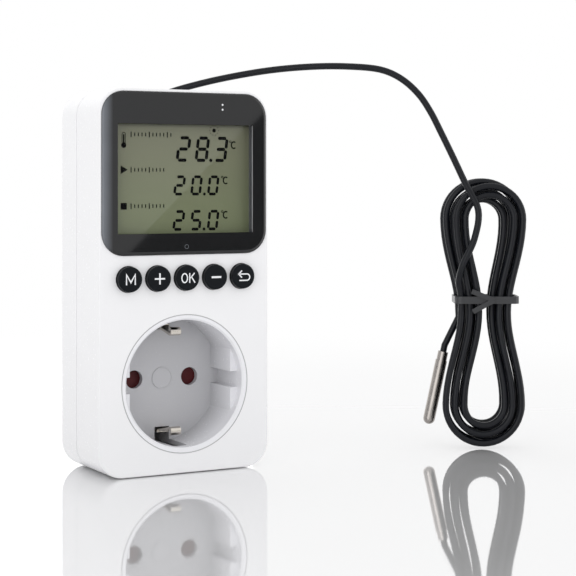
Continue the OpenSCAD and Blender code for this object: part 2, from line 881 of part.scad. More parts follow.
// Plug
module plug_profile() {
  polygon([[0, flange_u], [flange_r, flange_u], [flange_r, platform_u], [plug_r, platform_u],
    [plug_r, plug_u - plug_edge], [plug_r - plug_edge, plug_u - plug_edge], [0, plug_u - plug_edge]]);
  translate([0, plug_u - plug_edge - over]) square([plug_r - plug_edge, plug_edge + over]);
  translate([plug_r - plug_edge, plug_u - plug_edge]) intersection() {
    circle(plug_edge);
    translate([-over, -over]) square([plug_edge + 2 * over, plug_edge + 2 * over]);
  }
}

module plug_solid() {
  intersection() {
    turned(0, socket_z) plug_profile();
    union() {
      span_u(flange_u - over, platform_u) translate([0, socket_z]) circle(flange_r + over);
      pillow_back(plug_u, socket_z, plug_flat, plug_d, 2 * plug_edge, plug_h + over, plug_edge - snug);
      span_u(platform_u - over, plug_u - plug_edge) translate([0, socket_z])
        square([rib_span, rib_w], center = true);
    }
  }
  rod(0, socket_z, lip_r, lip_u, flange_u + over / 2);
  turned(0, socket_z) translate([disc_r - mark_ring, plug_u - over]) square([mark_ring, mark_t + over]);
  turned(0, socket_z + mark_z) translate([mark_r - mark_ring, plug_u - over])
    square([mark_ring, mark_t + over]);
  earth_mark();
}

// The sign for earth: a stem on three bars, each shorter than the one above
module earth_mark() {
  translate([0, 0, socket_z + mark_z]) {
    for (i = [0 : 2]) block(-bar_half * bar_shares[i], bar_half * bar_shares[i], plug_u - over,
      plug_u + mark_t, -i * bar_pitch, bar_t - i * bar_pitch);
    block(-bar_t / 2, bar_t / 2, plug_u - over, plug_u + mark_t, 0, bar_half);
  }
}

module plug_body() {
  color("whitesmoke") difference() {
    plug_solid();
    rod(0, socket_z, cup_r, lip_u - over, cup_end_u);
    for (x = [-1, 1]) rod(x * pin_pitch / 2, socket_z, pin_root_d / 2, cup_end_u - over, plug_u + over);
    for (s = [-1, 1]) translate([0, 0, socket_z]) scale([1, 1, s]) {
      block(-earth_notch_w / 2, earth_notch_w / 2, lip_u - over, plug_u + over, notch_in,
        plug_r + over);
      block(-earth_slot_w / 2, earth_slot_w / 2, lip_u - over, flange_u, notch_in, lip_r + over);
      block(-plus_w / 2, plus_w / 2, plug_u - plus_d, plug_u + over, notch_in - plus_t / 2,
        notch_in + plus_t / 2);
    }
  }
}

module plug_pin(x) {
  dome = pin_d / 2;
  turned(x, socket_z) {
    translate([0, plug_u]) square([pin_d / 2, pin_l - dome]);
    intersection() {
      translate([0, tip_u - dome]) circle(dome);
      translate([0, tip_u - dome - over]) square([dome, dome + over]);
    }
    translate([0, cup_end_u - strap_t - over]) square([pin_root_d / 2, plug_u - cup_end_u + strap_t + 2 * over]);
  }
}

// Strap inside the plug: from a pin's root forwards and then up to a wire
module pin_strap(x) {
  bar_z = sleeve_r + slack;
  translate([x, 0, socket_z]) {
    block(-strap_w / 2, strap_w / 2, cup_end_u - 2 * strap_t, cup_end_u - strap_t, -strap_w / 2,
      bar_z + strap_t);
    block(-strap_w / 2, strap_w / 2, pin_strap_u, cup_end_u - strap_t, bar_z, bar_z + strap_t);
    block(-strap_w / 2, strap_w / 2, pin_strap_u, pin_strap_u + strap_t, bar_z, strap_rise);
  }
}

module pin_and_strap(x) {
  color("silver") {
    plug_pin(x);
    pin_strap(x);
  }
}

module live_pin() {
  pin_and_strap(live_x);
}

module neutral_pin() {
  pin_and_strap(neutral_x);
}

module supply_wires() {
  wire_r = 0.8;
  wire(live_x, pin_strap_u + wire_r / 2, wire_r, "brown");
  wire(switched_x, contact_strap_u + wire_r / 2, wire_r, "brown");
  wire(neutral_x, pin_strap_u + wire_r / 2, wire_r, "steelblue");
}

module wire(x, u, r, tint) {
  color(tint) translate([x, face_y + u, strap_top_z]) cylinder(r = r, h = power_bottom - strap_top_z);
}

// Fasteners and covers
module case_screws() {
  seat_u = tower_u + tower_seat_t;
  color("silver") for (x = [-1, 1]) {
    rod(x * case_screw_x, case_screw_z, case_head_d / 2, seat_u, seat_u + case_head_t);
    rod(x * case_screw_x, case_screw_z, case_screw_d / 2 - snug, tower_u - case_screw_l + slack,
      seat_u + over);
  }
}

module screw_covers() {
  color("black") for (x = [-1, 1])
    rod(x * case_screw_x, case_screw_z, cover_d / 2, tower_u + tower_seat_t + case_head_t,
      back_u + cover_sink);
}

module rating_label() {
  color("lightgray") span_u(back_u, back_u + label_t) translate([0, label_z])
    rounded(label_w, label_h, label_r);
}

// Sensor cord inside and through the case
module cord_grommet() {
  head_r = grommet_d / 2;
  color("black") turned(0, grommet_z) difference() {
    union() {
      translate([0, case_u]) square([head_r, grommet_head_t - grommet_groove]);
      translate([0, case_u + grommet_head_t - grommet_groove - over])
        square([head_r - grommet_groove, grommet_groove + over]);
      translate([head_r - grommet_groove, case_u + grommet_head_t - grommet_groove]) intersection() {
        circle(grommet_groove);
        translate([-over, -over]) square([grommet_groove + 2 * over, grommet_groove + 2 * over]);
      }
      translate([0, inner_u - over]) square([grommet_neck_r, wall + 2 * over]);
      translate([0, inner_u - grommet_inner_t]) square([grommet_neck_r + grommet_groove, grommet_inner_t]);
    }
    translate([0, inner_u - grommet_inner_t - over]) square([cord_r + running, case_d]);
  }
}

module inner_lead() {
  color("black") rod(0, grommet_z, cord_r, connector_end_u, grommet_end_u);
}

module sensor_connector() {
  color("ivory") translate([0, 0, grommet_z])
    block(-connector_w / 2, connector_w / 2, control_end_u, connector_end_u, -connector_h / 2,
      connector_h / 2);
}

// Keys
module key(i) {
  edge = 0.5;
  color("black") {
    translate([key_x(i), face_y - key_proud, key_z]) rotate([-90, 0, 0])
      rotate_extrude() half_outline(key_d / 2, key_proud + face_t + 2 * snug, edge);
    rod(key_x(i), key_z, key_d / 2 + key_flange, face_t + snug, face_t + snug + key_flange_t);
    rod(key_x(i), key_z, plunger_d, face_t + snug, key_back_u);
  }
}

module key_mode() { key(0); }
module key_plus() { key(1); }
module key_ok() { key(2); }
module key_minus() { key(3); }
module key_return() { key(4); }

// The cord stands as a tied hank beside the case, its flat side turned to the viewer.
// Across, deep and up are the hank's own directions.
hank_x = 109;
hank_u = -4;
hank_turn = -29;
function hank_place(a, b, z) = [hank_x + a * cos(hank_turn) - b * sin(hank_turn),
  face_y + hank_u + a * sin(hank_turn) + b * cos(hank_turn), z];

hank_loops = 10;
hank_rings = 24;
hank_sides = 6;
hank_layers = 4;
hank_run = 31;                      // from the waist to the centre of a fold
fold_r = 3 * cord_d;                // tightest fold
hank_step = cord_d + 0.78;          // from one loop to the next
waist_half = 1.8;                   // innermost run at the waist, from the middle
climb_at = [2.25, 4.75, 7.25];      // loops before each climb to the next layer
climb_loops = 0.5;                  // loops that a climb takes
loop_in = climb_at[0];              // loops from the outermost to the innermost
loop_back = loop_in - (climb_at[1] - climb_at[0] - climb_loops);
waist_z = hank_run + fold_r + loop_in * hank_step + cord_r;

// How far in a turn has spiralled, and how deep its layer lies
function ramp(t, a, b) = max(0, min(1, (t - a) / (b - a)));
function ease(x) = x * x * (3 - 2 * x);
function since(t, i) = max(0, t - climb_at[i] - climb_loops);
function spiral(t) = t < climb_at[0] ? t : t < climb_at[1] ? loop_in - since(t, 0)
  : t < climb_at[2] ? loop_back + since(t, 1) : loop_in - since(t, 2);
function climb(t, i) = ease(ramp(t, climb_at[i], climb_at[i] + climb_loops));
function layer(t) = climb(t, 0) + climb(t, 1) + climb(t, 2);

// A loop: down the left run, round the bottom fold, up the right run and round the top fold
run_share = 0.25;
function draw_in(h) = (1 + cos(180 * h / hank_run)) / 2;
function draw_slope(h) = (fold_r - waist_half) * sin(180 * h / hank_run) * PI / 2 / hank_run;
function run_point(h, s) = let (x = fold_r - (fold_r - waist_half) * draw_in(h),
  m = draw_slope(h), g = norm([1, m])) [x + s / g, h - s * m / g];
function fold_point(a, s) = [(fold_r + s) * cos(a), hank_run + (fold_r + s) * sin(a)];
function half_loop(q, s) = q < run_share
  ? run_point(hank_run * (2 * q / run_share - 1), s)
  : fold_point(180 * (q - run_share) / (0.5 - run_share), s);
function turn_point(t) = let (q = (t + run_share / 2) - floor(t + run_share / 2),
  s = (loop_in - spiral(t)) * hank_step,
  p = half_loop(q < 0.5 ? q : q - 0.5, s), f = q < 0.5 ? -1 : 1)
  [f * p[0], (layer(t) - (hank_layers - 1) / 2) * hank_step, waist_z + f * p[1]];
hank_path = [for (i = [0 : hank_loops * hank_rings]) turn_point(i / hank_rings)];
hank_points = [for (p = hank_path) hank_place(p[0], p[1], p[2])];

function gap_between(i, j) = norm(hank_path[i] - hank_path[j]) - cord_d;
hank_gap = min([for (i = [0 : len(hank_path) - 1], j = [i + 5 : 1 : len(hank_path) - 1])
  gap_between(i, j)]);
echo(least_gap_in_the_hank = hank_gap);
function run_length(p) = len(p) < 2 ? 0 : [for (i = [1 : len(p) - 1]) norm(p[i] - p[i - 1])]
  * [for (i = [1 : len(p) - 1]) 1];
echo(length_of_the_hank = run_length(hank_path));

module cord_hank() {
  color("black") tube(hank_points, cord_r, hank_sides,
    [sin(hank_turn), -cos(hank_turn), 0]);
}

// Route of the lead: over the case, then down the front of the hank to its waist.
// The points after the arch are in the hank's directions.
lead_arch = [[0.5, 41, 109], [2.5, 44, 111.5], [7, 45, 115], [14, 42.5, 118.5], [23, 37, 121.5],
  [33, 31, 124], [44, 24.5, 126], [55, 17.5, 127], [65, 11.5, 127], [74, 6.5, 126],
  [80, 3, 123], [85, 0.3, 118], [88.5, -1.8, 112], [91.7, -3.4, 105], [95.2, -5.4, 96.7],
  [98.6, -7.2, 88.5]];
lead_down = [[-3.2, -8, 79.5], [-4.5, -8.2, 70], [-8, -7.6, 62], [-9.4, -5.6, 56], [-8.7, -4.5, 52]];
lead_start = [0, face_y + grommet_end_u, grommet_z];
lead_end = hank_points[0];
lead_dir = unit(hank_points[0] - hank_points[1]);
lead_points = concat([lead_start], smooth(concat([lead_start + [0, cord_d, 0]],
  [for (p = lead_arch) [p[0], face_y + p[1], p[2]]],
  [for (p = lead_down) hank_place(p[0], p[1], p[2])], [lead_end + lead_dir * cord_d]), 3), [lead_end]);
lead_gap = min([for (i = [0 : len(lead_points) - 4], p = hank_points) norm(lead_points[i] - p)]) - cord_d;
echo(least_gap_beside_the_lead = lead_gap);
echo(length_of_the_lead = run_length(lead_points));

module sensor_lead() {
  color("black") tube(lead_points, cord_r, 8, [0.8, 0.5, 0.1]);
}

// Tail of the cord down to the probe, at the hank's left
tail_start = hank_points[len(hank_points) - 1];
tail_dir = unit(tail_start - hank_points[len(hank_points) - 2]);
probe_lean = 12;
probe_at = [-13.6, 4.6, 31.5];      // across, deep and up
probe_top = hank_place(probe_at[0], probe_at[1], probe_at[2]);
probe_dir = [-sin(probe_lean) * cos(hank_turn), -sin(probe_lean) * sin(hank_turn), -cos(probe_lean)];
tail_points = concat([tail_start], smooth([tail_start + tail_dir * cord_d,
  probe_top - probe_dir * cord_d], 12), [probe_top]);
probe_gap = min([for (p = hank_points, k = [0 : 5])
  norm(p - probe_top - probe_dir * probe_l * k / 5)]) - cord_r - probe_d / 2;
echo(least_gap_beside_the_probe = probe_gap);
echo(length_of_the_tail = run_length(tail_points));

module probe_lead() {
  color("black") tube(tail_points, cord_r, 8, [sin(hank_turn), -cos(hank_turn), 0]);
}

module sensor_probe() {
  crimp_l = 3;
  crimp_share = 0.88;
  color("silver") translate(probe_top) rotate([0, 0, hank_turn]) rotate([0, 180 + probe_lean, 0])
    rotate_extrude() {
      square([probe_d * crimp_share / 2, crimp_l + over]);
      translate([0, crimp_l]) square([probe_d / 2, probe_l - crimp_l - probe_d / 2]);
      intersection() {
        translate([0, probe_l - probe_d / 2]) circle(probe_d / 2);
        translate([0, probe_l - probe_d / 2 - over]) square([probe_d / 2, probe_d / 2 + over]);
      }
    }
}

// Tie round the waist
tie_h = 2.4;
tie_t = 0.8;
tie_up = 3;
tie_z = waist_z + tie_up;
tie_end = 8;
tie_turns = [-28, 22];
tie_w = 2 * (waist_half + loop_in * hank_step + cord_r + slack);
tie_deep = (hank_layers - 1) * hank_step + cord_d + 2 * slack;

module tie_band(grow) {
  rounded(tie_w + 2 * grow, tie_deep + 2 * grow, cord_r + slack + grow);
}

module cord_tie() {
  color("black") translate([hank_x, face_y + hank_u, tie_z]) rotate([0, 0, hank_turn]) {
    difference() {
      linear_extrude(tie_h) tie_band(tie_t);
      translate([0, 0, -over]) linear_extrude(tie_h + 2 * over) tie_band(0);
    }
    for (a = tie_turns) translate([cord_d, -tie_deep / 2 - tie_t, tie_h / 2]) rotate([0, a, 0])
      translate([-tie_end, -tie_t, -tie_t]) cube([tie_end, tie_t + over, 2 * tie_t]);
  }
}

front_shell();
rear_shell();
display_window();
lcd_panel();
lcd_frame();
light_guide();
contact_strip();
control_board();
control_chip();
indicator_lamps();
key_switches();
power_board();
board_link();
relay();
transformer();
filter_capacitor();
supply_capacitor();
fuse();
board_screws();
socket_insert();
contact_block();
shutter();
shutter_spring();
live_contact();
neutral_contact();
upper_earth_strip();
lower_earth_strip();
earth_bridge();
plug_body();
live_pin();
neutral_pin();
supply_wires();
case_screws();
screw_covers();
rating_label();
cord_grommet();
inner_lead();
sensor_connector();
key_mode();
key_plus();
key_ok();
key_minus();
key_return();
sensor_lead();
cord_hank();
cord_tie();
probe_lead();
sensor_probe();
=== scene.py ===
"""A plug-in temperature controller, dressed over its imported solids.

Every length is in metres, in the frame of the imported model: the face looks towards -Y, the plug
pins point along +Y, and the case stands on z = 0.
"""

import logging
import math
from dataclasses import dataclass, field
from enum import Enum
from typing import Sequence

import bmesh
import bpy
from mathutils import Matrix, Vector


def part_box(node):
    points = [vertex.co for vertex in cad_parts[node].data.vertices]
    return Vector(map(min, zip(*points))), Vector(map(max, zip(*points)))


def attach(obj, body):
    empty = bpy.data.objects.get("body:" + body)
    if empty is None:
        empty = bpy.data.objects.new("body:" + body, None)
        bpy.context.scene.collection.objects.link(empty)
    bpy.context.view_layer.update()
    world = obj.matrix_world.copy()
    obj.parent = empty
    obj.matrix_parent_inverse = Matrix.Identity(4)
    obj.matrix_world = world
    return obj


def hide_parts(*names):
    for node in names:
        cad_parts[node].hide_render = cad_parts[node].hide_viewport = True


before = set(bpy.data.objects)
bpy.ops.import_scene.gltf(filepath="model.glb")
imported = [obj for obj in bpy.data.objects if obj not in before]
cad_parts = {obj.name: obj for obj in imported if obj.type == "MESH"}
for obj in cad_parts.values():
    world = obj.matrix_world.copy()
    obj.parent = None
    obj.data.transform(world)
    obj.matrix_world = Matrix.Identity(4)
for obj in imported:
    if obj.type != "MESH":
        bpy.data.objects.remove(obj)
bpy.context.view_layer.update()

logging.basicConfig(level=logging.INFO, format="%(message)s")
log = logging.getLogger("controller")

MM = 0.001
ROOT = "case"
BRUSH_STRETCH = 0.06
BROAD_SCALE = 0.06
GLOSS_SPREAD = 0.15
Point2 = tuple[float, float]
Point3 = tuple[float, float, float]
Colour = tuple[float, float, float]


class Pattern(Enum):
    """What breaks up a finish's colour and gloss."""

    MOULDED = "moulded"
    BRUSHED = "brushed"
    RUBBERY = "rubbery"
    PRINTED = "printed"


@dataclass(frozen=True)
class PaintedLightFade:
    """Painted light or shade along one axis: the colour goes from its full value at start to a share
    of it at end.
    """

    axis: str
    start: float
    end: float
    share: float


@dataclass(frozen=True)
class Finish:
    """One surface finish, made of noise on the object's own coordinates."""

    name: str
    colour: Colour
    roughness: float
    pattern: Pattern = Pattern.MOULDED
    metallic: float = 0.0
    mottle: float = 0.03
    grain: float = 0.0007
    depth: float = 0.000006
    gloss: float = 0.5
    fade: PaintedLightFade | None = None

    def shade(self, share: float) -> tuple[float, float, float, float]:
        """The colour, lighter or darker by a share."""
        return tuple(max(0.0, min(1.0, c * (1 + share))) for c in self.colour) + (1.0,)

    def material(self) -> bpy.types.Material:
        """Builds the material, or returns it if it is there already.

        Returns:
            The material with its nodes.
        """
        name = f"finish_{self.name}"
        made = bpy.data.materials.get(name)
        if made:
            return made
        made = bpy.data.materials.new(name)
        made.use_nodes = True
        nodes, links = made.node_tree.nodes, made.node_tree.links
        shader = nodes["Principled BSDF"]
        shader.inputs["Metallic"].default_value = self.metallic
        shader.inputs["Specular IOR Level"].default_value = self.gloss
        place = nodes.new("ShaderNodeTexCoord")
        turn = nodes.new("ShaderNodeMapping")
        if self.pattern is Pattern.BRUSHED:
            turn.inputs["Scale"].default_value = (1.0, BRUSH_STRETCH, 1.0)
        links.new(place.outputs["Object"], turn.inputs["Vector"])
        broad, fine = nodes.new("ShaderNodeTexNoise"), nodes.new("ShaderNodeTexNoise")
        broad.inputs["Scale"].default_value = BROAD_SCALE / self.grain
        broad.inputs["Detail"].default_value = 3.0
        fine.inputs["Scale"].default_value = 1.0 / self.grain
        fine.inputs["Detail"].default_value = 2.0
        for noise in (broad, fine):
            links.new(turn.outputs["Vector"], noise.inputs["Vector"])
        tint = nodes.new("ShaderNodeValToRGB")
        tint.color_ramp.elements[0].position = 0.3
        tint.color_ramp.elements[1].position = 0.7
        tint.color_ramp.elements[0].color = self.shade(-self.mottle)
        tint.color_ramp.elements[1].color = self.shade(self.mottle)
        links.new(broad.outputs["Fac"], tint.inputs["Fac"])
        links.new(tint.outputs["Color"], shader.inputs["Base Color"])
        # Painted light or shade along an axis, where the finish has it.
        if self.fade:
            self.paint_light_along_axis(made, place, tint, shader)
        rub = nodes.new("ShaderNodeMapRange")
        rub.inputs["To Min"].default_value = max(0.02, self.roughness * (1 - GLOSS_SPREAD))
        rub.inputs["To Max"].default_value = min(1.0, self.roughness * (1 + GLOSS_SPREAD))
        links.new(fine.outputs["Fac"], rub.inputs["Value"])
        links.new(rub.outputs["Result"], shader.inputs["Roughness"])
        bump = nodes.new("ShaderNodeBump")
        bump.inputs["Strength"].default_value = 0.6 if self.pattern is Pattern.RUBBERY else 0.35
        bump.inputs["Distance"].default_value = self.depth
        links.new(fine.outputs["Fac"], bump.inputs["Height"])
        links.new(bump.outputs["Normal"], shader.inputs["Normal"])
        return made

    def paint_light_along_axis(self, made: bpy.types.Material, place: bpy.types.Node, tint: bpy.types.Node,
               shader: bpy.types.Node) -> None:
        """Scales the colour along an axis, to paint shade deep in a well or a highlight at an edge.

        Args:
            made: The material.
            place: Its coordinates.
            tint: The node that gives the colour so far.
            shader: The node that takes the colour.
        """
        nodes, links = made.node_tree.nodes, made.node_tree.links
        split, span = nodes.new("ShaderNodeSeparateXYZ"), nodes.new("ShaderNodeMapRange")
        span.inputs["From Min"].default_value = self.fade.start
        span.inputs["From Max"].default_value = self.fade.end
        span.inputs["To Min"].default_value = 1.0
        span.inputs["To Max"].default_value = self.fade.share
        scale = nodes.new("ShaderNodeVectorMath")
        scale.operation = "SCALE"
        links.new(place.outputs["Object"], split.inputs["Vector"])
        links.new(split.outputs[self.fade.axis], span.inputs["Value"])
        links.new(tint.outputs["Color"], scale.inputs[0])
        links.new(span.outputs["Result"], scale.inputs["Scale"])
        links.new(scale.outputs["Vector"], shader.inputs["Base Color"])


@dataclass(frozen=True)
class ClearWindow:
    """The clear part of the window, which only tints what lies behind it."""

    name: str = "clear_window"
    colour: Colour = (0.01, 0.011, 0.012)
    cover: float = 0.06

    def material(self) -> bpy.types.Material:
        """Builds the material with faint ripples in its gloss.

        Returns:
            The material with its nodes.
        """
        made = bpy.data.materials.get(self.name)
        if made:
            return made
        made = bpy.data.materials.new(self.name)
        made.use_nodes = True
        nodes, links = made.node_tree.nodes, made.node_tree.links
        shader = nodes["Principled BSDF"]
        shader.inputs["Base Color"].default_value = (*self.colour, 1.0)
        shader.inputs["Alpha"].default_value = self.cover
        place, noise = nodes.new("ShaderNodeTexCoord"), nodes.new("ShaderNodeTexNoise")
        noise.inputs["Scale"].default_value = 40.0
        rub = nodes.new("ShaderNodeMapRange")
        rub.inputs["To Min"].default_value = 0.02
        rub.inputs["To Max"].default_value = 0.05
        links.new(place.outputs["Object"], noise.inputs["Vector"])
        links.new(noise.outputs["Fac"], rub.inputs["Value"])
        links.new(rub.outputs["Result"], shader.inputs["Roughness"])
        return made


@dataclass(frozen=True)
class LiquidCrystal:
    """The display's grey-green field, a little darker towards its foot, with the window rim's shadow
    painted along its left and top edges.
    """

    name: str = "liquid_crystal_field"
    light: Colour = (0.184, 0.190, 0.129)
    dark: Colour = (0.183, 0.209, 0.120)
    start: float = 0.070
    end: float = 0.108
    # rim, soft and shadow place the painted shadow along the field's left and top edges.
    rim: float = 2.0 * MM
    soft: float = 1.5 * MM
    shadow: float = 0.35

    def material(self) -> bpy.types.Material:
        """Builds the material, which grades up the height of the glass and paints the window rim's
        shadow along its left and top edges.

        Returns:
            The material with its nodes.
        """
        made = bpy.data.materials.new(self.name)
        made.use_nodes = True
        nodes, links = made.node_tree.nodes, made.node_tree.links
        shader = nodes["Principled BSDF"]
        shader.inputs["Roughness"].default_value = 0.015
        place, split = nodes.new("ShaderNodeTexCoord"), nodes.new("ShaderNodeSeparateXYZ")
        span = self.span(made, self.start, self.end)
        ramp = nodes.new("ShaderNodeValToRGB")
        ramp.color_ramp.elements[0].color = (*self.dark, 1.0)
        ramp.color_ramp.elements[1].color = (*self.light, 1.0)
        links.new(place.outputs["Object"], split.inputs["Vector"])
        links.new(split.outputs["Z"], span.inputs["Value"])
        links.new(span.outputs["Result"], ramp.inputs["Fac"])
        # Painted shadow: the field darkens towards its left and top edges, where the window's rim
        # would shade it.
        low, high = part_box("lcd_panel")
        left = self.span(made, low.x + self.rim, low.x + self.rim + self.soft)
        top = self.span(made, high.z - self.rim, high.z - self.rim - self.soft)
        rim_shadow_mask, scale = nodes.new("ShaderNodeMath"), nodes.new("ShaderNodeVectorMath")
        rim_shadow_mask.operation, scale.operation = "MINIMUM", "SCALE"
        rim_shadow_lift = nodes.new("ShaderNodeMapRange")
        rim_shadow_lift.inputs["To Min"].default_value = self.shadow
        links.new(split.outputs["X"], left.inputs["Value"])
        links.new(split.outputs["Z"], top.inputs["Value"])
        links.new(left.outputs["Result"], rim_shadow_mask.inputs[0])
        links.new(top.outputs["Result"], rim_shadow_mask.inputs[1])
        links.new(rim_shadow_mask.outputs["Value"], rim_shadow_lift.inputs["Value"])
        links.new(ramp.outputs["Color"], scale.inputs[0])
        links.new(rim_shadow_lift.outputs["Result"], scale.inputs["Scale"])
        links.new(scale.outputs["Vector"], shader.inputs["Base Color"])
        return made

    def span(self, made: bpy.types.Material, start: float, end: float) -> bpy.types.Node:
        """A node that runs smoothly from 0 at one coordinate to 1 at another."""
        node = made.node_tree.nodes.new("ShaderNodeMapRange")
        node.interpolation_type = "SMOOTHSTEP"
        node.inputs["From Min"].default_value = start
        node.inputs["From Max"].default_value = end
        return node


CASE_WHITE = Finish("case_white", (0.875, 0.875, 0.89), 0.26, mottle=0.004, depth=0.0000012,
                    gloss=0.3)
# Painted shade: the insert's white darkens to two thirds of its value deep in the well, where shade
# falls.
SOCKET_WHITE = Finish("socket_white", (0.85, 0.85, 0.88), 0.26, mottle=0.006, depth=0.0000012,
                      fade=PaintedLightFade("Y", -0.032, -0.0185, 0.66))
PLUG_WHITE = Finish("plug_white", (0.85, 0.85, 0.865), 0.28, mottle=0.006, depth=0.0000012)
# Painted shade: a dark grey sheet over the white walls of the display opening, darkening them as if
# shaded.
OPENING_SHADE_GREY = Finish("opening_shade_grey", (0.10, 0.105, 0.115), 0.4, mottle=0.05)
# Painted highlight: the window's dark rim grows many times lighter towards its left edge, as if light
# caught it.
WINDOW_BLACK = Finish("window_black", (0.0056, 0.006, 0.0068), 0.035, mottle=0.1, depth=0.0000001,
                      fade=PaintedLightFade("X", -0.0242, -0.0272, 26.0))
KEY_BLACK = Finish("key_black", (0.004, 0.0055, 0.0075), 0.34, mottle=0.1, grain=0.0003,
                   depth=0.000002, gloss=0.12)
GLYPH_WHITE = Finish("glyph_white", (0.82, 0.83, 0.85), 0.45, Pattern.PRINTED, mottle=0.02)
SEGMENT_BLACK = Finish("segment_black", (0.0015, 0.0017, 0.0015), 0.6, Pattern.PRINTED,
                       mottle=0.1, gloss=0.05)
LAMP_CLEAR = Finish("lamp_clear", (0.75, 0.78, 0.82), 0.2, mottle=0.02)
RING_GREY = Finish("ring_grey", (0.09, 0.1, 0.11), 0.4, Pattern.PRINTED, mottle=0.05)
# Painted shade: a grey ring printed on the face, standing in for the shade in the gap round the
# socket's rim.
SEAM_SHADE_GREY = Finish("seam_shade_grey", (0.42, 0.42, 0.43), 0.6, Pattern.PRINTED, mottle=0.05)
FRAME_WHITE = Finish("frame_white", (0.5, 0.5, 0.5), 0.5, mottle=0.02)
STRIP_PINK = Finish("strip_pink", (0.55, 0.22, 0.25), 0.6, Pattern.RUBBERY, mottle=0.15)
BOARD_GREEN = Finish("board_green", (0.012, 0.09, 0.03), 0.35, mottle=0.2, grain=0.0004)
CHIP_BLACK = Finish("chip_black", (0.02, 0.02, 0.022), 0.55, mottle=0.1)
RELAY_BLUE = Finish("relay_blue", (0.02, 0.07, 0.32), 0.35, mottle=0.05)
CORE_YELLOW = Finish("core_yellow", (0.7, 0.5, 0.06), 0.45, mottle=0.12)
CAN_BLUE = Finish("can_blue", (0.02, 0.03, 0.12), 0.3, mottle=0.05)
FUSE_CREAM = Finish("fuse_cream", (0.66, 0.58, 0.42), 0.25, mottle=0.05)
SCREW_STEEL = Finish("screw_steel", (0.6, 0.6, 0.6), 0.3, Pattern.BRUSHED, metallic=1.0)
CARRIER_GREY = Finish("carrier_grey", (0.55, 0.55, 0.54), 0.5, mottle=0.04)
SHUTTER_RED = Finish("shutter_red", (0.075, 0.004, 0.006), 0.4, mottle=0.08, gloss=0.25)
CONTACT_BRASS = Finish("contact_brass", (0.7, 0.5, 0.2), 0.3, Pattern.BRUSHED, metallic=1.0)
NICKEL = Finish("nickel", (0.66, 0.62, 0.56), 0.18, Pattern.BRUSHED, metallic=1.0, mottle=0.06)
WIRE_BROWN = Finish("wire_brown", (0.16, 0.05, 0.02), 0.4, Pattern.RUBBERY, mottle=0.05)
COVER_BLACK = Finish("cover_black", (0.015, 0.015, 0.017), 0.55, Pattern.RUBBERY, mottle=0.12)
LABEL_GREY = Finish("label_grey", (0.72, 0.72, 0.735), 0.42, Pattern.PRINTED, mottle=0.01)
RULE_BLACK = Finish("rule_black", (0.02, 0.02, 0.022), 0.5, Pattern.PRINTED, mottle=0.1)
CORD_BLACK = Finish("cord_black", (0.0045, 0.0055, 0.0085), 0.33, Pattern.RUBBERY, mottle=0.1,
                    grain=0.0004, gloss=0.24)
TIE_BLACK = Finish("tie_black", (0.032, 0.033, 0.036), 0.34, mottle=0.1, gloss=0.4)
PROBE_STEEL = Finish("probe_steel", (0.36, 0.335, 0.315), 0.2, Pattern.BRUSHED, metallic=1.0,
                     mottle=0.08, grain=0.0003)


def dress(node: str, finish: Finish | LiquidCrystal) -> None:
    """Gives a carried solid its finish.

    Args:
        node: The solid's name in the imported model.
        finish: The finish that all its material slots take.
    """
    made = finish.material()
    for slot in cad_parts[node].material_slots:
        slot.material = made
    log.info("dressed %s in %s", node, finish.name)


def new_piece(name: str, mesh: bmesh.types.BMesh, finish: Finish,
              body: str = ROOT) -> bpy.types.Object:
    """Turns mesh data into a piece of the object that rides on a body.

    Args:
        name: Name of the piece.
        mesh: The shape, which is freed here.
        finish: Its finish.
        body: The body that it moves with.

    Returns:
        The new object.
    """
    bmesh.ops.recalc_face_normals(mesh, faces=mesh.faces)
    data = bpy.data.meshes.new(name)
    mesh.to_mesh(data)
    mesh.free()
    piece = bpy.data.objects.new(name, data)
    bpy.context.collection.objects.link(piece)
    data.materials.append(finish.material())
    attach(piece, body)
    log.info("made %s", name)
    return piece


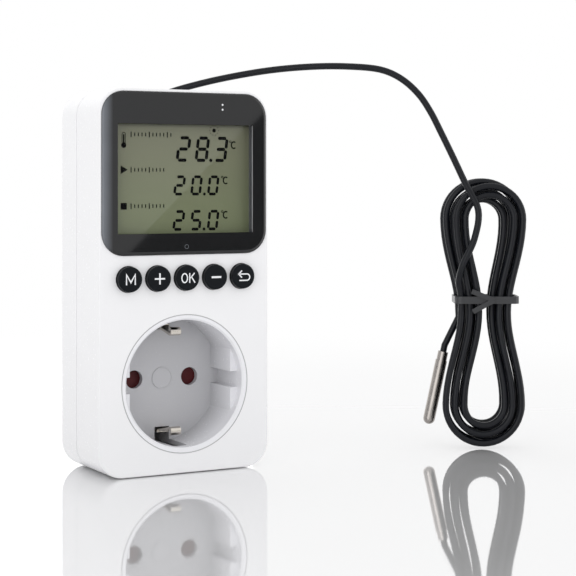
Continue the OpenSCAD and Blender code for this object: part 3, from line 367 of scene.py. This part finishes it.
@dataclass
class Print:
    """Ink or foil on a face that looks along -Y or +Y, drawn in X and Z."""

    name: str
    y: float
    thickness: float
    finish: Finish
    slot: str
    body: str = ROOT
    towards: float = -1.0
    mesh: bmesh.types.BMesh = field(default_factory=bmesh.new)

    def quad(self, corners: Sequence[Point2]) -> None:
        """Adds one raised patch.

        Args:
            corners: Its corners in order, in X and Z.
        """
        low = [self.mesh.verts.new((x, self.y, z)) for x, z in corners]
        top = [self.mesh.verts.new((x, self.y + self.towards * self.thickness, z))
               for x, z in corners]
        self.mesh.faces.new(top)
        self.mesh.faces.new(list(reversed(low)))
        for i in range(len(corners)):
            j = (i + 1) % len(corners)
            self.mesh.faces.new((low[i], low[j], top[j], top[i]))

    def stroke(self, points: Sequence[Point2], width: float, closed: bool = False) -> None:
        """Adds a line of even width with mitred corners.

        Args:
            points: The line's points in X and Z.
            width: Its width.
            closed: True to join its end to its start.
        """
        count = len(points)
        sides = []
        for i, here in enumerate(points):
            before = points[i - 1] if closed or i > 0 else here
            after = points[(i + 1) % count] if closed or i < count - 1 else here
            a = Vector(here) - Vector(before)
            b = Vector(after) - Vector(here)
            a = a.normalized() if a.length > 0 else b.normalized()
            b = b.normalized() if b.length > 0 else a
            way = (a + b).normalized() if (a + b).length > 0.01 else a
            out = Vector((-way.y, way.x))
            reach = width / 2 / max(0.45, out.dot(Vector((-a.y, a.x))))
            sides.append((Vector(here) + out * reach, Vector(here) - out * reach))
        for i in range(count if closed else count - 1):
            j = (i + 1) % count
            self.quad([tuple(sides[i][0]), tuple(sides[j][0]), tuple(sides[j][1]),
                       tuple(sides[i][1])])

    def arc(self, centre: Point2, radius: float, start: float, end: float, width: float,
            steps: int = 16) -> None:
        """Adds a line along part of a circle, from one angle in degrees to another."""
        turn = [math.radians(start + (end - start) * i / steps) for i in range(steps + 1)]
        self.stroke([(centre[0] + radius * math.cos(a), centre[1] + radius * math.sin(a))
                     for a in turn], width)

    def disc(self, centre: Point2, radius: float, steps: int = 20) -> None:
        """Adds a filled circle."""
        self.quad([(centre[0] + radius * math.cos(math.tau * i / steps),
                    centre[1] + radius * math.sin(math.tau * i / steps)) for i in range(steps)])

    def build(self) -> bpy.types.Object:
        """Makes the piece from everything drawn so far."""
        return new_piece(self.name, self.mesh, self.finish, self.body)


@dataclass(frozen=True)
class Lamp:
    """One soft square lamp."""

    name: str
    place: Point3
    power: float
    size: float = 0.8


@dataclass
class Studio:
    """The camera, the pale floor and the soft light."""

    eye: Point3 = (-0.2141, -0.48815, 0.0888)
    heading: float = -28.94
    lens: float = 102.25
    shift_up: float = -0.184
    shift_side: float = -0.0017
    sensor: float = 36.0
    floor_size: float = 3.0
    floor_place: Point3 = (0.05, 0.0, -0.0002)
    fade_start: float = 0.16
    fade_end: float = 0.42
    world_strength: float = 0.91
    aim: Point3 = (0.03, 0.0, 0.06)
    lamps: tuple[Lamp, ...] = (
        Lamp("key_lamp", (-0.9, -0.75, 0.15), 2.3),
        Lamp("fill_lamp", (1.0, -0.7, 0.15), 2.2),
        Lamp("back_lamp", (0.1, 0.9, 0.2), 1.1),
    )
    card_grey: float = 0.22
    card_y: float = -0.62
    card_corners: tuple[Point2, ...] = ((-29.0, 58.0), (32.0, 58.0), (32.0, 115.6))

    def place_camera(self) -> None:
        """Stands the camera where the photograph was taken, level and turned to the part."""
        data = bpy.data.cameras.new("camera")
        data.lens, data.sensor_width = self.lens, self.sensor
        data.shift_x, data.shift_y = self.shift_side, self.shift_up
        data.clip_start, data.clip_end = 0.01, 50.0
        camera = bpy.data.objects.new("camera", data)
        camera.location = self.eye
        camera.rotation_euler = (math.radians(90), 0, math.radians(self.heading))
        bpy.context.collection.objects.link(camera)
        bpy.context.scene.camera = camera

    def lay_floor(self) -> None:
        """Lays a pale polished floor that fades into the white round it."""
        mesh = bmesh.new()
        bmesh.ops.create_grid(mesh, x_segments=24, y_segments=24, size=self.floor_size / 2)
        data = bpy.data.meshes.new("floor")
        mesh.to_mesh(data)
        mesh.free()
        floor = bpy.data.objects.new("floor", data)
        floor.location = self.floor_place
        bpy.context.collection.objects.link(floor)
        made = bpy.data.materials.new("floor_white")
        made.use_nodes = True
        nodes, links = made.node_tree.nodes, made.node_tree.links
        shader, out = nodes["Principled BSDF"], nodes["Material Output"]
        shader.inputs["Base Color"].default_value = (0.93, 0.93, 0.935, 1)
        shader.inputs["Roughness"].default_value = 0.04
        shader.inputs["IOR"].default_value = 1.6
        shader.inputs["Metallic"].default_value = 0.5
        clear, mix = nodes.new("ShaderNodeBsdfTransparent"), nodes.new("ShaderNodeMixShader")
        place, reach = nodes.new("ShaderNodeTexCoord"), nodes.new("ShaderNodeVectorMath")
        reach.operation = "LENGTH"
        fade = nodes.new("ShaderNodeMapRange")
        fade.interpolation_type = "SMOOTHSTEP"
        fade.inputs["From Min"].default_value = self.fade_start
        fade.inputs["From Max"].default_value = self.fade_end
        links.new(place.outputs["Object"], reach.inputs[0])
        links.new(reach.outputs["Value"], fade.inputs["Value"])
        links.new(fade.outputs["Result"], mix.inputs["Fac"])
        links.new(shader.outputs["BSDF"], mix.inputs[1])
        links.new(clear.outputs["BSDF"], mix.inputs[2])
        links.new(mix.outputs["Shader"], out.inputs["Surface"])
        data.materials.append(made)

    def colour_world(self) -> None:
        """White behind everything, and a dimmer even light from all round."""
        world = bpy.data.worlds.new("studio")
        bpy.context.scene.world = world
        world.use_nodes = True
        nodes, links = world.node_tree.nodes, world.node_tree.links
        light, out = nodes["Background"], nodes["World Output"]
        light.inputs["Color"].default_value = (1.0, 1.0, 1.0, 1)
        light.inputs["Strength"].default_value = self.world_strength
        white, rays = nodes.new("ShaderNodeBackground"), nodes.new("ShaderNodeLightPath")
        white.inputs["Color"].default_value = (1.0, 1.0, 1.0, 1)
        white.inputs["Strength"].default_value = 1.0
        seen, any_ray = nodes.new("ShaderNodeMath"), nodes.new("ShaderNodeMath")
        for node in (seen, any_ray):
            node.operation = "MAXIMUM"
        mix = nodes.new("ShaderNodeMixShader")
        links.new(rays.outputs["Is Camera Ray"], seen.inputs[0])
        links.new(rays.outputs["Is Glossy Ray"], seen.inputs[1])
        links.new(seen.outputs["Value"], any_ray.inputs[0])
        links.new(rays.outputs["Is Transmission Ray"], any_ray.inputs[1])
        links.new(any_ray.outputs["Value"], mix.inputs["Fac"])
        links.new(light.outputs["Background"], mix.inputs[1])
        links.new(white.outputs["Background"], mix.inputs[2])
        links.new(mix.outputs["Shader"], out.inputs["Surface"])

    def hang_lamp(self, lamp: Lamp) -> None:
        """Hangs one lamp that looks at the middle of the part.

        Args:
            lamp: The lamp, with its place in the frame.
        """
        data = bpy.data.lights.new(lamp.name, "AREA")
        data.shape, data.size, data.energy = "SQUARE", lamp.size, lamp.power
        hung = bpy.data.objects.new(lamp.name, data)
        hung.location = lamp.place
        way = Vector(self.aim) - Vector(lamp.place)
        hung.rotation_mode = "QUATERNION"
        hung.rotation_quaternion = way.to_track_quat("-Z", "Y")
        bpy.context.collection.objects.link(hung)

    def hang_dark_card(self) -> None:
        """Hangs a dark card whose slanted edge shows only as a reflection in the window."""
        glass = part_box("display_window")[0].y
        reach = (glass - self.card_y) / (glass - self.eye[1])
        mesh = bmesh.new()
        corners = []
        for x, z in self.card_corners:
            corners.append((x * MM + reach * (x * MM - self.eye[0]), self.card_y,
                            z * MM + reach * (z * MM - self.eye[2])))
        mesh.faces.new([mesh.verts.new(corner) for corner in corners])
        data = bpy.data.meshes.new("dark_card")
        mesh.to_mesh(data)
        mesh.free()
        card = bpy.data.objects.new("dark_card", data)
        bpy.context.collection.objects.link(card)
        card.visible_camera = card.visible_diffuse = card.visible_shadow = False
        card.visible_transmission = False
        made = bpy.data.materials.new("dark_card")
        made.use_nodes = True
        shader = made.node_tree.nodes["Principled BSDF"]
        shader.inputs["Base Color"].default_value = (*[self.card_grey] * 3, 1)
        shader.inputs["Roughness"].default_value = 0.9
        data.materials.append(made)

    def build(self) -> None:
        """Builds the whole studio."""
        self.place_camera()
        self.lay_floor()
        self.colour_world()
        for lamp in self.lamps:
            self.hang_lamp(lamp)
        self.hang_dark_card()
        log.info("built the studio")


def curve_point(a: Vector, b: Vector, c: Vector, d: Vector, t: float) -> Vector:
    """A point between b and c on the smooth line through a, b, c and d."""
    return ((2 * b) + (c - a) * t + (2 * a - 5 * b + 4 * c - d) * t * t
            + (3 * b - a - 3 * c + d) * t * t * t) / 2


def smooth_line(points: Sequence[Vector], steps: int) -> list[Vector]:
    """Runs a smooth line through given points.

    Args:
        points: The points.
        steps: How many pieces each stretch gets.

    Returns:
        The line's points, ends included.
    """
    last = len(points) - 1
    line = [curve_point(points[max(i - 1, 0)], points[i], points[i + 1],
                        points[min(i + 2, last)], k / steps)
            for i in range(last) for k in range(steps)]
    return line + [points[last]]


@dataclass
class SensorCord:
    """The sensor's cord: over the case, down to a tied hank, and on to the probe."""

    face: float
    exit_depth: float = 33.4 * MM
    exit_height: float = 108.1 * MM
    diameter: float = 2.2 * MM
    hank_x: float = 109 * MM
    hank_depth: float = -4 * MM
    hank_turn: float = math.radians(-29)
    loops: int = 10
    rings: int = 96
    run: float = 31 * MM
    fold: float = 6.6 * MM
    step: float = 2.98 * MM
    waist_half: float = 1.8 * MM
    climbs: tuple[float, float, float] = (2.25, 4.75, 7.25)
    climb_loops: float = 0.5
    run_share: float = 0.25
    fan: float = 0.8 * MM
    probe_lean: float = math.radians(12)
    probe_at: Point3 = (-13.6, 4.6, 31.5)
    arch: tuple[Point3, ...] = (
        (0.5, 41, 109), (2.5, 44, 111.5), (7, 45, 115), (14, 42.5, 118.5), (23, 37, 121.5),
        (33, 31, 124), (44, 24.5, 126), (55, 17.5, 127), (65, 11.5, 127), (74, 6.5, 126),
        (80, 3, 123), (85, 0.3, 118), (88.5, -1.8, 112), (91.7, -3.4, 105), (95.2, -5.4, 96.7),
        (98.6, -7.2, 88.5))
    down: tuple[Point3, ...] = (
        (-3.2, -8, 79.5), (-4.5, -8.2, 70), (-8, -7.6, 62), (-9.4, -5.6, 56), (-8.7, -4.5, 52))

    @property
    def waist(self) -> float:
        """Height of the hank's waist."""
        return self.run + self.fold + self.climbs[0] * self.step + self.diameter / 2

    def place(self, a: float, b: float, z: float) -> Vector:
        """A point given across, deep and up in the hank, as a point of the frame."""
        turn = self.hank_turn
        return Vector((self.hank_x + a * math.cos(turn) - b * math.sin(turn),
                       self.face + self.hank_depth + a * math.sin(turn) + b * math.cos(turn), z))

    def drawn_in(self, t: float) -> float:
        """How many pitches inwards the cord has spiralled after t loops."""
        inner = self.climbs[0]
        since = [max(0.0, t - c - self.climb_loops) for c in self.climbs]
        if t < self.climbs[0]:
            return t
        if t < self.climbs[1]:
            return inner - since[0]
        if t < self.climbs[2]:
            return inner - (self.climbs[1] - inner - self.climb_loops) + since[1]
        return inner - since[2]

    def layer(self, t: float) -> float:
        """The layer that the cord lies in after t loops, from 0 in front."""
        total = 0.0
        for start in self.climbs:
            x = max(0.0, min(1.0, (t - start) / self.climb_loops))
            total += x * x * (3 - 2 * x)
        return total

    def half_loop(self, q: float, side: float) -> Point2:
        """A point on the first half of a loop: along the run and round the fold."""
        if q < self.run_share:
            h = self.run * (2 * q / self.run_share - 1)
            bend = math.pi * h / self.run
            x = self.fold - (self.fold - self.waist_half) * (1 + math.cos(bend)) / 2
            slope = (self.fold - self.waist_half) * math.sin(bend) * math.pi / 2 / self.run
            scale = math.hypot(1, slope)
            return x + side / scale, h - side * slope / scale
        turn = math.pi * (q - self.run_share) / (0.5 - self.run_share)
        return (self.fold + side) * math.cos(turn), self.run + (self.fold + side) * math.sin(turn)

    def turn_point(self, t: float) -> Vector:
        """The cord's place after t loops of the hank."""
        q = (t + self.run_share / 2) % 1.0
        side = (self.climbs[0] - self.drawn_in(t)) * self.step
        x, h = self.half_loop(q if q < 0.5 else q - 0.5, side)
        flip = -1 if q < 0.5 else 1
        depth = (self.layer(t) - 1.5) * self.step
        lean = self.fan * math.cos(math.pi * self.layer(t)) * flip * h / (self.run + self.fold)
        return self.place(flip * x + lean, depth, self.waist + flip * h)

    def probe_top(self) -> Vector:
        """The point where the cord goes into the probe."""
        a, b, z = self.probe_at
        return self.place(a * MM, b * MM, z * MM)

    def probe_way(self) -> Vector:
        """The direction in which the probe points."""
        lean, turn = self.probe_lean, self.hank_turn
        return Vector((-math.sin(lean) * math.cos(turn), -math.sin(lean) * math.sin(turn),
                       -math.cos(lean)))

    def line(self) -> list[Vector]:
        """The whole centreline, from the grommet to the probe."""
        start = Vector((0, self.face + self.exit_depth, self.exit_height))
        hank = [self.turn_point(i / self.rings) for i in range(self.loops * self.rings + 1)]
        into = (hank[0] - hank[1]).normalized()
        out = (hank[-1] - hank[-2]).normalized()
        route = [start + Vector((0, self.diameter, 0))]
        route += [Vector((x * MM, self.face + u * MM, z * MM)) for x, u, z in self.arch]
        route += [self.place(a * MM, b * MM, z * MM) for a, b, z in self.down]
        route += [hank[0] + into * self.diameter]
        tail = smooth_line([hank[-1] + out * self.diameter,
                            self.probe_top() - self.probe_way() * self.diameter], 12)
        return [start] + smooth_line(route, 6) + hank + tail + [self.probe_top()]

    def build_cord(self) -> bpy.types.Object:
        """Returns:
            The cord.
        """
        line = self.line()
        data = bpy.data.curves.new("sensor_cord", "CURVE")
        data.dimensions = "3D"
        data.bevel_depth = self.diameter / 2
        data.bevel_resolution = 3
        data.use_fill_caps = True
        spline = data.splines.new("POLY")
        spline.points.add(len(line) - 1)
        for point, place in zip(spline.points, line):
            point.co = (*place, 1)
        spline.use_smooth = True
        cord = bpy.data.objects.new("sensor_cord", data)
        bpy.context.collection.objects.link(cord)
        data.materials.append(CORD_BLACK.material())
        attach(cord, ROOT)
        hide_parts("sensor_lead", "cord_hank", "probe_lead")
        return cord

    def build(self) -> None:
        """Lays the cord and dresses what is on it."""
        self.build_cord()
        dress("cord_tie", TIE_BLACK)
        dress("sensor_probe", PROBE_STEEL)


@dataclass
class Case:
    """The two shells, their screws and covers, and the bare label on the back."""

    label_rule: float = 0.35 * MM
    thick_rule: float = 0.7 * MM

    def draw_label(self) -> None:
        """Draws three rules across the label: a thin one near its top, a thick one below it and a
        thin one near its foot.
        """
        low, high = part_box("rating_label")
        ink = Print("label_rules", high.y, 0.02 * MM, RULE_BLACK, "label", towards=1.0)
        inset = 0.8 * MM
        left, right = low.x + inset, high.x - inset
        top = high.z - 1.2 * MM
        ink.stroke([(left, top), (right, top)], self.label_rule)
        ink.stroke([(left, top - 5 * MM), (right, top - 5 * MM)], self.thick_rule)
        ink.stroke([(left, low.z + 1.2 * MM), (right, low.z + 1.2 * MM)], self.label_rule)
        ink.build()

    def build(self) -> None:
        """Dresses the case."""
        dress("front_shell", CASE_WHITE)
        dress("rear_shell", CASE_WHITE)
        dress("case_screws", SCREW_STEEL)
        dress("screw_covers", COVER_BLACK)
        dress("rating_label", LABEL_GREY)
        dress("cord_grommet", COVER_BLACK)
        self.draw_label()


SEGMENTS = {
    "0": "abcdef", "1": "bc", "2": "abged", "3": "abgcd", "4": "fgbc", "5": "afgcd",
    "6": "afgedc", "7": "abc", "8": "abcdefg", "9": "abfgcd",
}


@dataclass(frozen=True)
class Reading:
    """One number on the display."""

    digits: str
    left: float
    bottom: float
    height: float
    width: float
    pitch: float
    line: float
    unit: Point2


@dataclass
class Display:
    """The window, its dark mask, the lit field behind it and the figures on it."""

    slant: float = 0.13
    ink: float = 0.02 * MM
    margin: float = 2.3 * MM
    liner_in: float = 0.7 * MM
    liner: float = 0.35 * MM
    edge: float = 0.55 * MM
    bevel: float = 1.0 * MM
    corner: float = 7.1 * MM
    readings: tuple[Reading, ...] = (
        Reading("28.3", -1.7 * MM, 95.5 * MM, 6.85 * MM, 3.45 * MM, 6.4 * MM, 1.02 * MM,
                (16.9 * MM, 100.3 * MM)),
        Reading("20.0", -2.6 * MM, 85.1 * MM, 5.3 * MM, 2.8 * MM, 5.75 * MM, 0.88 * MM,
                (14.1 * MM, 89.3 * MM)),
        Reading("25.0", -2.9 * MM, 74.3 * MM, 5.45 * MM, 2.85 * MM, 5.85 * MM, 0.88 * MM,
                (14.1 * MM, 78.6 * MM)),
    )

    def bar(self, ink: Print, a: Point2, b: Point2, width: float) -> None:
        """Adds one segment with bevelled ends, standing free of its neighbours."""
        start, end = Vector(a), Vector(b)
        along = (end - start).normalized()
        out = Vector((-along.y, along.x)) * width / 2
        gap, tip, blunt = along * width * 0.3, along * width * 0.3, out * 0.4
        start, end = start + gap, end - gap
        ink.quad([tuple(start - blunt), tuple(start + blunt), tuple(start + tip + out),
                  tuple(end - tip + out), tuple(end + blunt), tuple(end - blunt),
                  tuple(end - tip - out), tuple(start + tip - out)])

    def draw_reading(self, ink: Print, reading: Reading) -> None:
        """Draws one number and its unit.

        Args:
            ink: The print that it joins.
            reading: The number, with its place and its size.
        """
        w, h = reading.width, reading.height
        spots = {"a": ((0, h), (w, h)), "b": ((w, h), (w, h / 2)), "c": ((w, h / 2), (w, 0)),
                 "d": ((0, 0), (w, 0)), "e": ((0, h / 2), (0, 0)), "f": ((0, h), (0, h / 2)),
                 "g": ((0, h / 2), (w, h / 2))}
        x = reading.left
        for digit in reading.digits:
            if digit == ".":
                ink.disc((x - reading.pitch + w + 0.55 * (reading.pitch - w), reading.bottom),
                         reading.line * 0.55, 10)
                continue
            for letter in SEGMENTS[digit]:
                ends = [(x + p + self.slant * q, reading.bottom + q) for p, q in spots[letter]]
                self.bar(ink, ends[0], ends[1], reading.line)
            x += reading.pitch
        u, v = reading.unit
        wide, tall, thick = 0.85 * MM, 1.02 * MM, 0.42 * MM
        turn = [math.radians(50 + 260 * i / 14) for i in range(15)]
        ink.stroke([(u + wide * (1 + math.cos(a)), v + tall * math.sin(a)) for a in turn], thick)
        ink.arc((u - 0.35 * MM, v + tall), 0.3 * MM, 0, 360, thick / 2, 10)

    def draw_icons(self, ink: Print) -> None:
        """Draws a sun, a thermometer and the signs for start and stop, each with a scale."""
        sun = (10.9 * MM, 104.75 * MM)
        ink.disc(sun, 0.62 * MM)
        for i in range(10):
            a = math.tau * i / 10
            ink.disc((sun[0] + 1.5 * MM * math.cos(a), sun[1] + 1.5 * MM * math.sin(a)), 0.17 * MM, 8)
        x, z = -19.4 * MM, 101.2 * MM
        ink.disc((x, z - 1.3 * MM), 0.85 * MM)
        ink.stroke([(x, z - 1.0 * MM), (x, z + 2.0 * MM)], 0.5 * MM)
        ink.arc((x, z + 2.0 * MM), 0.55 * MM, 0, 180, 0.2 * MM, 8)
        for s in (-1, 1):
            ink.stroke([(x + s * 0.55 * MM, z - 0.6 * MM), (x + s * 0.55 * MM, z + 2.0 * MM)],
                       0.2 * MM)
        ink.quad([(x - 1.0 * MM, 91.2 * MM), (x + 1.3 * MM, 92.5 * MM), (x - 1.0 * MM, 93.8 * MM)])
        ink.quad([(x - 1.0 * MM, 80.5 * MM), (x + 1.0 * MM, 80.5 * MM), (x + 1.0 * MM, 82.5 * MM),
                  (x - 1.0 * MM, 82.5 * MM)])
        for row, count in ((103.2, 12), (92.5, 10), (81.5, 10)):
            for i in range(count):
                tall = (0.85 if i % 5 == 0 else 0.55) * MM
                px = -17.0 * MM + i * 1.2 * MM
                ink.stroke([(px, row * MM - tall), (px, row * MM + tall)], 0.34 * MM)

    def set_window(self) -> None:
        """Sets the window: a slab with a rounded front edge, printed dark round a clear field."""
        low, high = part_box("display_window")
        glass_low, glass_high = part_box("lcd_panel")
        clear = [glass_low.x + self.margin, glass_high.x - self.margin,
                 glass_low.z + self.margin, glass_high.z - self.margin]
        mesh = bmesh.new()
        rings = []
        steps = 8
        rows = [(self.edge * (1 - math.sin(a)), self.bevel * (1 - math.cos(a)))
                for a in (math.radians(90 * k / steps) for k in range(steps + 1))]
        rows = [(high.y - low.y, 0.0)] + [(y, inset) for y, inset in rows]
        for depth, inset in rows:
            ring = []
            for turn, (sx, sz) in enumerate(((1, 1), (-1, 1), (-1, -1), (1, -1))):
                cx = sx * (high.x - self.corner)
                cz = (high.z - self.corner) if sz > 0 else (low.z + self.corner)
                for i in range(steps + 1):
                    a = math.radians(90 * turn + 90 * i / steps)
                    r = self.corner - inset
                    ring.append(mesh.verts.new((cx + r * math.cos(a), low.y + depth,
                                                cz + r * math.sin(a))))
            rings.append(ring)
        for lower, upper in zip(rings, rings[1:]):
            for i in range(len(lower)):
                j = (i + 1) % len(lower)
                mesh.faces.new((lower[i], lower[j], upper[j], upper[i])).smooth = True
        front = [mesh.verts.new((x, low.y, z)) for x, z in
                 ((clear[1], clear[3]), (clear[0], clear[3]), (clear[0], clear[2]),
                  (clear[1], clear[2]))]
        rim, quarter = rings[-1], steps + 1
        for corner in range(4):
            for i in range(steps):
                k = corner * quarter + i
                mesh.faces.new((rim[k], rim[k + 1], front[corner]))
            k, after = corner * quarter + steps, (corner + 1) % 4
            mesh.faces.new((rim[k], rim[after * quarter], front[after], front[corner]))
        pane = mesh.faces.new(front)
        pane.material_index = 1
        # The dark rim carries a painted highlight along the window's left edge.
        window = new_piece("window", mesh, WINDOW_BLACK)
        window.data.materials.append(ClearWindow().material())
        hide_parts("display_window")

    def shade_opening(self) -> None:
        """Lines the opening behind the window with a thin dark grey sheet, which paints shade on the
        opening's white walls.
        """
        window_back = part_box("display_window")[1].y
        glass_low, glass_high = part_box("lcd_panel")
        inset, thick = self.margin - self.liner_in, self.liner
        left, right = glass_low.x + inset, glass_high.x - inset
        foot, head = glass_low.z + inset, glass_high.z - inset
        outer = [(left, foot), (right, foot), (right, head), (left, head)]
        mesh = bmesh.new()
        rings = []
        for y, shrink in ((window_back, 0.0), (glass_low.y, 0.0), (glass_low.y, thick),
                          (window_back, thick)):
            rings.append([mesh.verts.new((x - math.copysign(shrink, x),
                                          y, z + (shrink if k < 2 else -shrink)))
                          for k, (x, z) in enumerate(outer)])
        for k, ring in enumerate(rings):
            after = rings[(k + 1) % len(rings)]
            for i in range(4):
                j = (i + 1) % 4
                mesh.faces.new((ring[i], ring[j], after[j], after[i]))
        new_piece("opening_shade_liner", mesh, OPENING_SHADE_GREY)

    def draw_lamps(self) -> None:
        """Draws the two lamp dots and the faint ring on the front of the window."""
        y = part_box("display_window")[0].y
        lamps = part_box("indicator_lamps")
        dots = Print("lamp_dots", y, self.ink, GLYPH_WHITE, "lamp")
        x = lamps[1].x - 0.5 * MM
        for z in (lamps[1].z - 0.5 * MM, lamps[1].z - 2.0 * MM):
            dots.disc((x, z), 0.3 * MM, 14)
        dots.build()
        ring = Print("ring_mark", y, self.ink, RING_GREY, "lamp")
        ring.arc((0, lamps[0].z + 0.5 * MM), 0.62 * MM, 0, 360, 0.16 * MM, 20)
        ring.build()

    def build(self) -> None:
        """Dresses the display and draws what it shows."""
        dress("lcd_panel", LiquidCrystal())
        dress("lcd_frame", FRAME_WHITE)
        dress("light_guide", LAMP_CLEAR)
        dress("contact_strip", STRIP_PINK)
        dress("indicator_lamps", LAMP_CLEAR)
        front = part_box("lcd_panel")[0].y
        figures = Print("display_figures", front, self.ink, SEGMENT_BLACK, "liquid_crystal")
        for reading in self.readings:
            self.draw_reading(figures, reading)
        self.draw_icons(figures)
        figures.build()
        self.set_window()
        self.shade_opening()
        self.draw_lamps()


@dataclass
class Keys:
    """The five keys and the sign on each."""

    names: tuple[str, ...] = ("key_mode", "key_plus", "key_ok", "key_minus", "key_return")
    line: float = 0.44 * MM
    ink: float = 0.03 * MM
    scale: float = 0.94

    def sign(self, name: str) -> Print:
        """Starts the sign on one key's top, with its body and its height."""
        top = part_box(name)[0].y
        return Print(f"{name}_sign", top, self.ink, GLYPH_WHITE, "key_black", body=name)

    def centre(self, name: str) -> Point2:
        """The middle of a key's top."""
        low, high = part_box(name)
        return (low.x + high.x) / 2, (low.z + high.z) / 2

    def draw(self, name: str) -> None:
        """Draws the sign of one key.

        Args:
            name: The key's node, which is its body too.
        """
        ink, (x, z) = self.sign(name), self.centre(name)

        def at(*points: Point2) -> list[Point2]:
            """The points, given from the key's middle, as points of the frame."""
            return [(x + a * self.scale * MM, z + b * self.scale * MM) for a, b in points]

        if name == "key_mode":
            ink.stroke(at((-1.5, -1.7), (-1.5, 1.6), (0, -0.9), (1.5, 1.6), (1.5, -1.7)), self.line)
        elif name == "key_plus":
            ink.stroke(at((-1.8, 0), (1.8, 0)), self.line * 1.1)
            ink.stroke(at((0, 0.25), (0, 1.8)), self.line * 1.1)
            ink.stroke(at((0, -0.25), (0, -1.8)), self.line * 1.1)
        elif name == "key_ok":
            ring = [(-1.35 + 1.0 * math.cos(math.tau * i / 28), 1.45 * math.sin(math.tau * i / 28))
                    for i in range(28)]
            ink.stroke(at(*ring), self.line * 0.85, closed=True)
            ink.stroke(at((0.45, -1.6), (0.45, 1.6)), self.line * 0.85)
            ink.stroke(at((0.68, -0.1), (2.2, 1.6)), self.line * 0.85)
            ink.stroke(at((1.1, 0.35), (2.35, -1.6)), self.line * 0.85)
        elif name == "key_minus":
            ink.stroke(at((-1.75, 0), (1.75, 0)), self.line * 1.35)
        else:
            ink.stroke(at((-1.9, 0.75), (1.1, 0.75)), self.line * 0.9)
            ink.arc(at((1.1, -0.3))[0], 1.05 * self.scale * MM, 90, -90, self.line * 0.9, 14)
            ink.stroke(at((1.1, -1.35), (-1.7, -1.35)), self.line * 0.9)
            ink.stroke(at((-0.75, 1.9), (-1.95, 0.75), (-0.75, -0.4)), self.line * 0.9)
        ink.build()

    def build(self) -> None:
        """Dresses the keys and draws their signs."""
        for name in self.names:
            dress(name, KEY_BLACK)
            self.draw(name)


@dataclass
class Socket:
    """The well in the front with its contacts, and the shutter behind its floor."""

    rim: float = 21.1 * MM
    seam: float = 0.3 * MM
    ink: float = 0.02 * MM

    def draw_seam_shade(self) -> None:
        """Draws painted shade along the seam between the well's rim and the case."""
        low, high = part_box("socket_insert")
        line = Print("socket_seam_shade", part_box("front_shell")[0].y, self.ink, SEAM_SHADE_GREY, "white_case")
        line.arc((0, (low.z + high.z) / 2), self.rim, 0, 360, self.seam, 72)
        line.build()

    def build(self) -> None:
        """Dresses the socket."""
        self.draw_seam_shade()
        # The insert's finish carries painted shade that deepens down the well.
        dress("socket_insert", SOCKET_WHITE)
        dress("contact_block", CARRIER_GREY)
        dress("shutter", SHUTTER_RED)
        dress("shutter_spring", SCREW_STEEL)
        for node in ("live_contact", "neutral_contact"):
            dress(node, CONTACT_BRASS)
        for node in ("upper_earth_strip", "lower_earth_strip", "earth_bridge"):
            dress(node, NICKEL)


@dataclass
class Plug:
    """The plug on the back."""

    def build(self) -> None:
        """Dresses the plug and its pins."""
        dress("plug_body", PLUG_WHITE)
        dress("live_pin", NICKEL)
        dress("neutral_pin", NICKEL)


@dataclass
class Inside:
    """The two boards and everything on them."""

    finishes: dict[str, Finish] = field(default_factory=lambda: {
        "control_board": BOARD_GREEN, "power_board": BOARD_GREEN, "control_chip": CHIP_BLACK,
        "key_switches": CHIP_BLACK, "board_link": CHIP_BLACK, "relay": RELAY_BLUE,
        "transformer": CORE_YELLOW, "filter_capacitor": CORE_YELLOW,
        "supply_capacitor": CAN_BLUE, "fuse": FUSE_CREAM, "board_screws": SCREW_STEEL,
        "supply_wires": WIRE_BROWN, "inner_lead": CORD_BLACK, "sensor_connector": FRAME_WHITE,
    })

    def build(self) -> None:
        """Dresses the inner pieces."""
        for node, finish in self.finishes.items():
            dress(node, finish)


def main() -> None:
    """Builds the scene, camera and cord first."""
    bpy.context.scene.view_settings.view_transform = "Standard"
    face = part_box("front_shell")[0].y
    Studio().build()
    SensorCord(face).build()
    for assembly in (Case(), Display(), Keys(), Socket(), Plug(), Inside()):
        assembly.build()
        log.info("built %s", type(assembly).__name__)


if __name__ == "__main__":
    main()
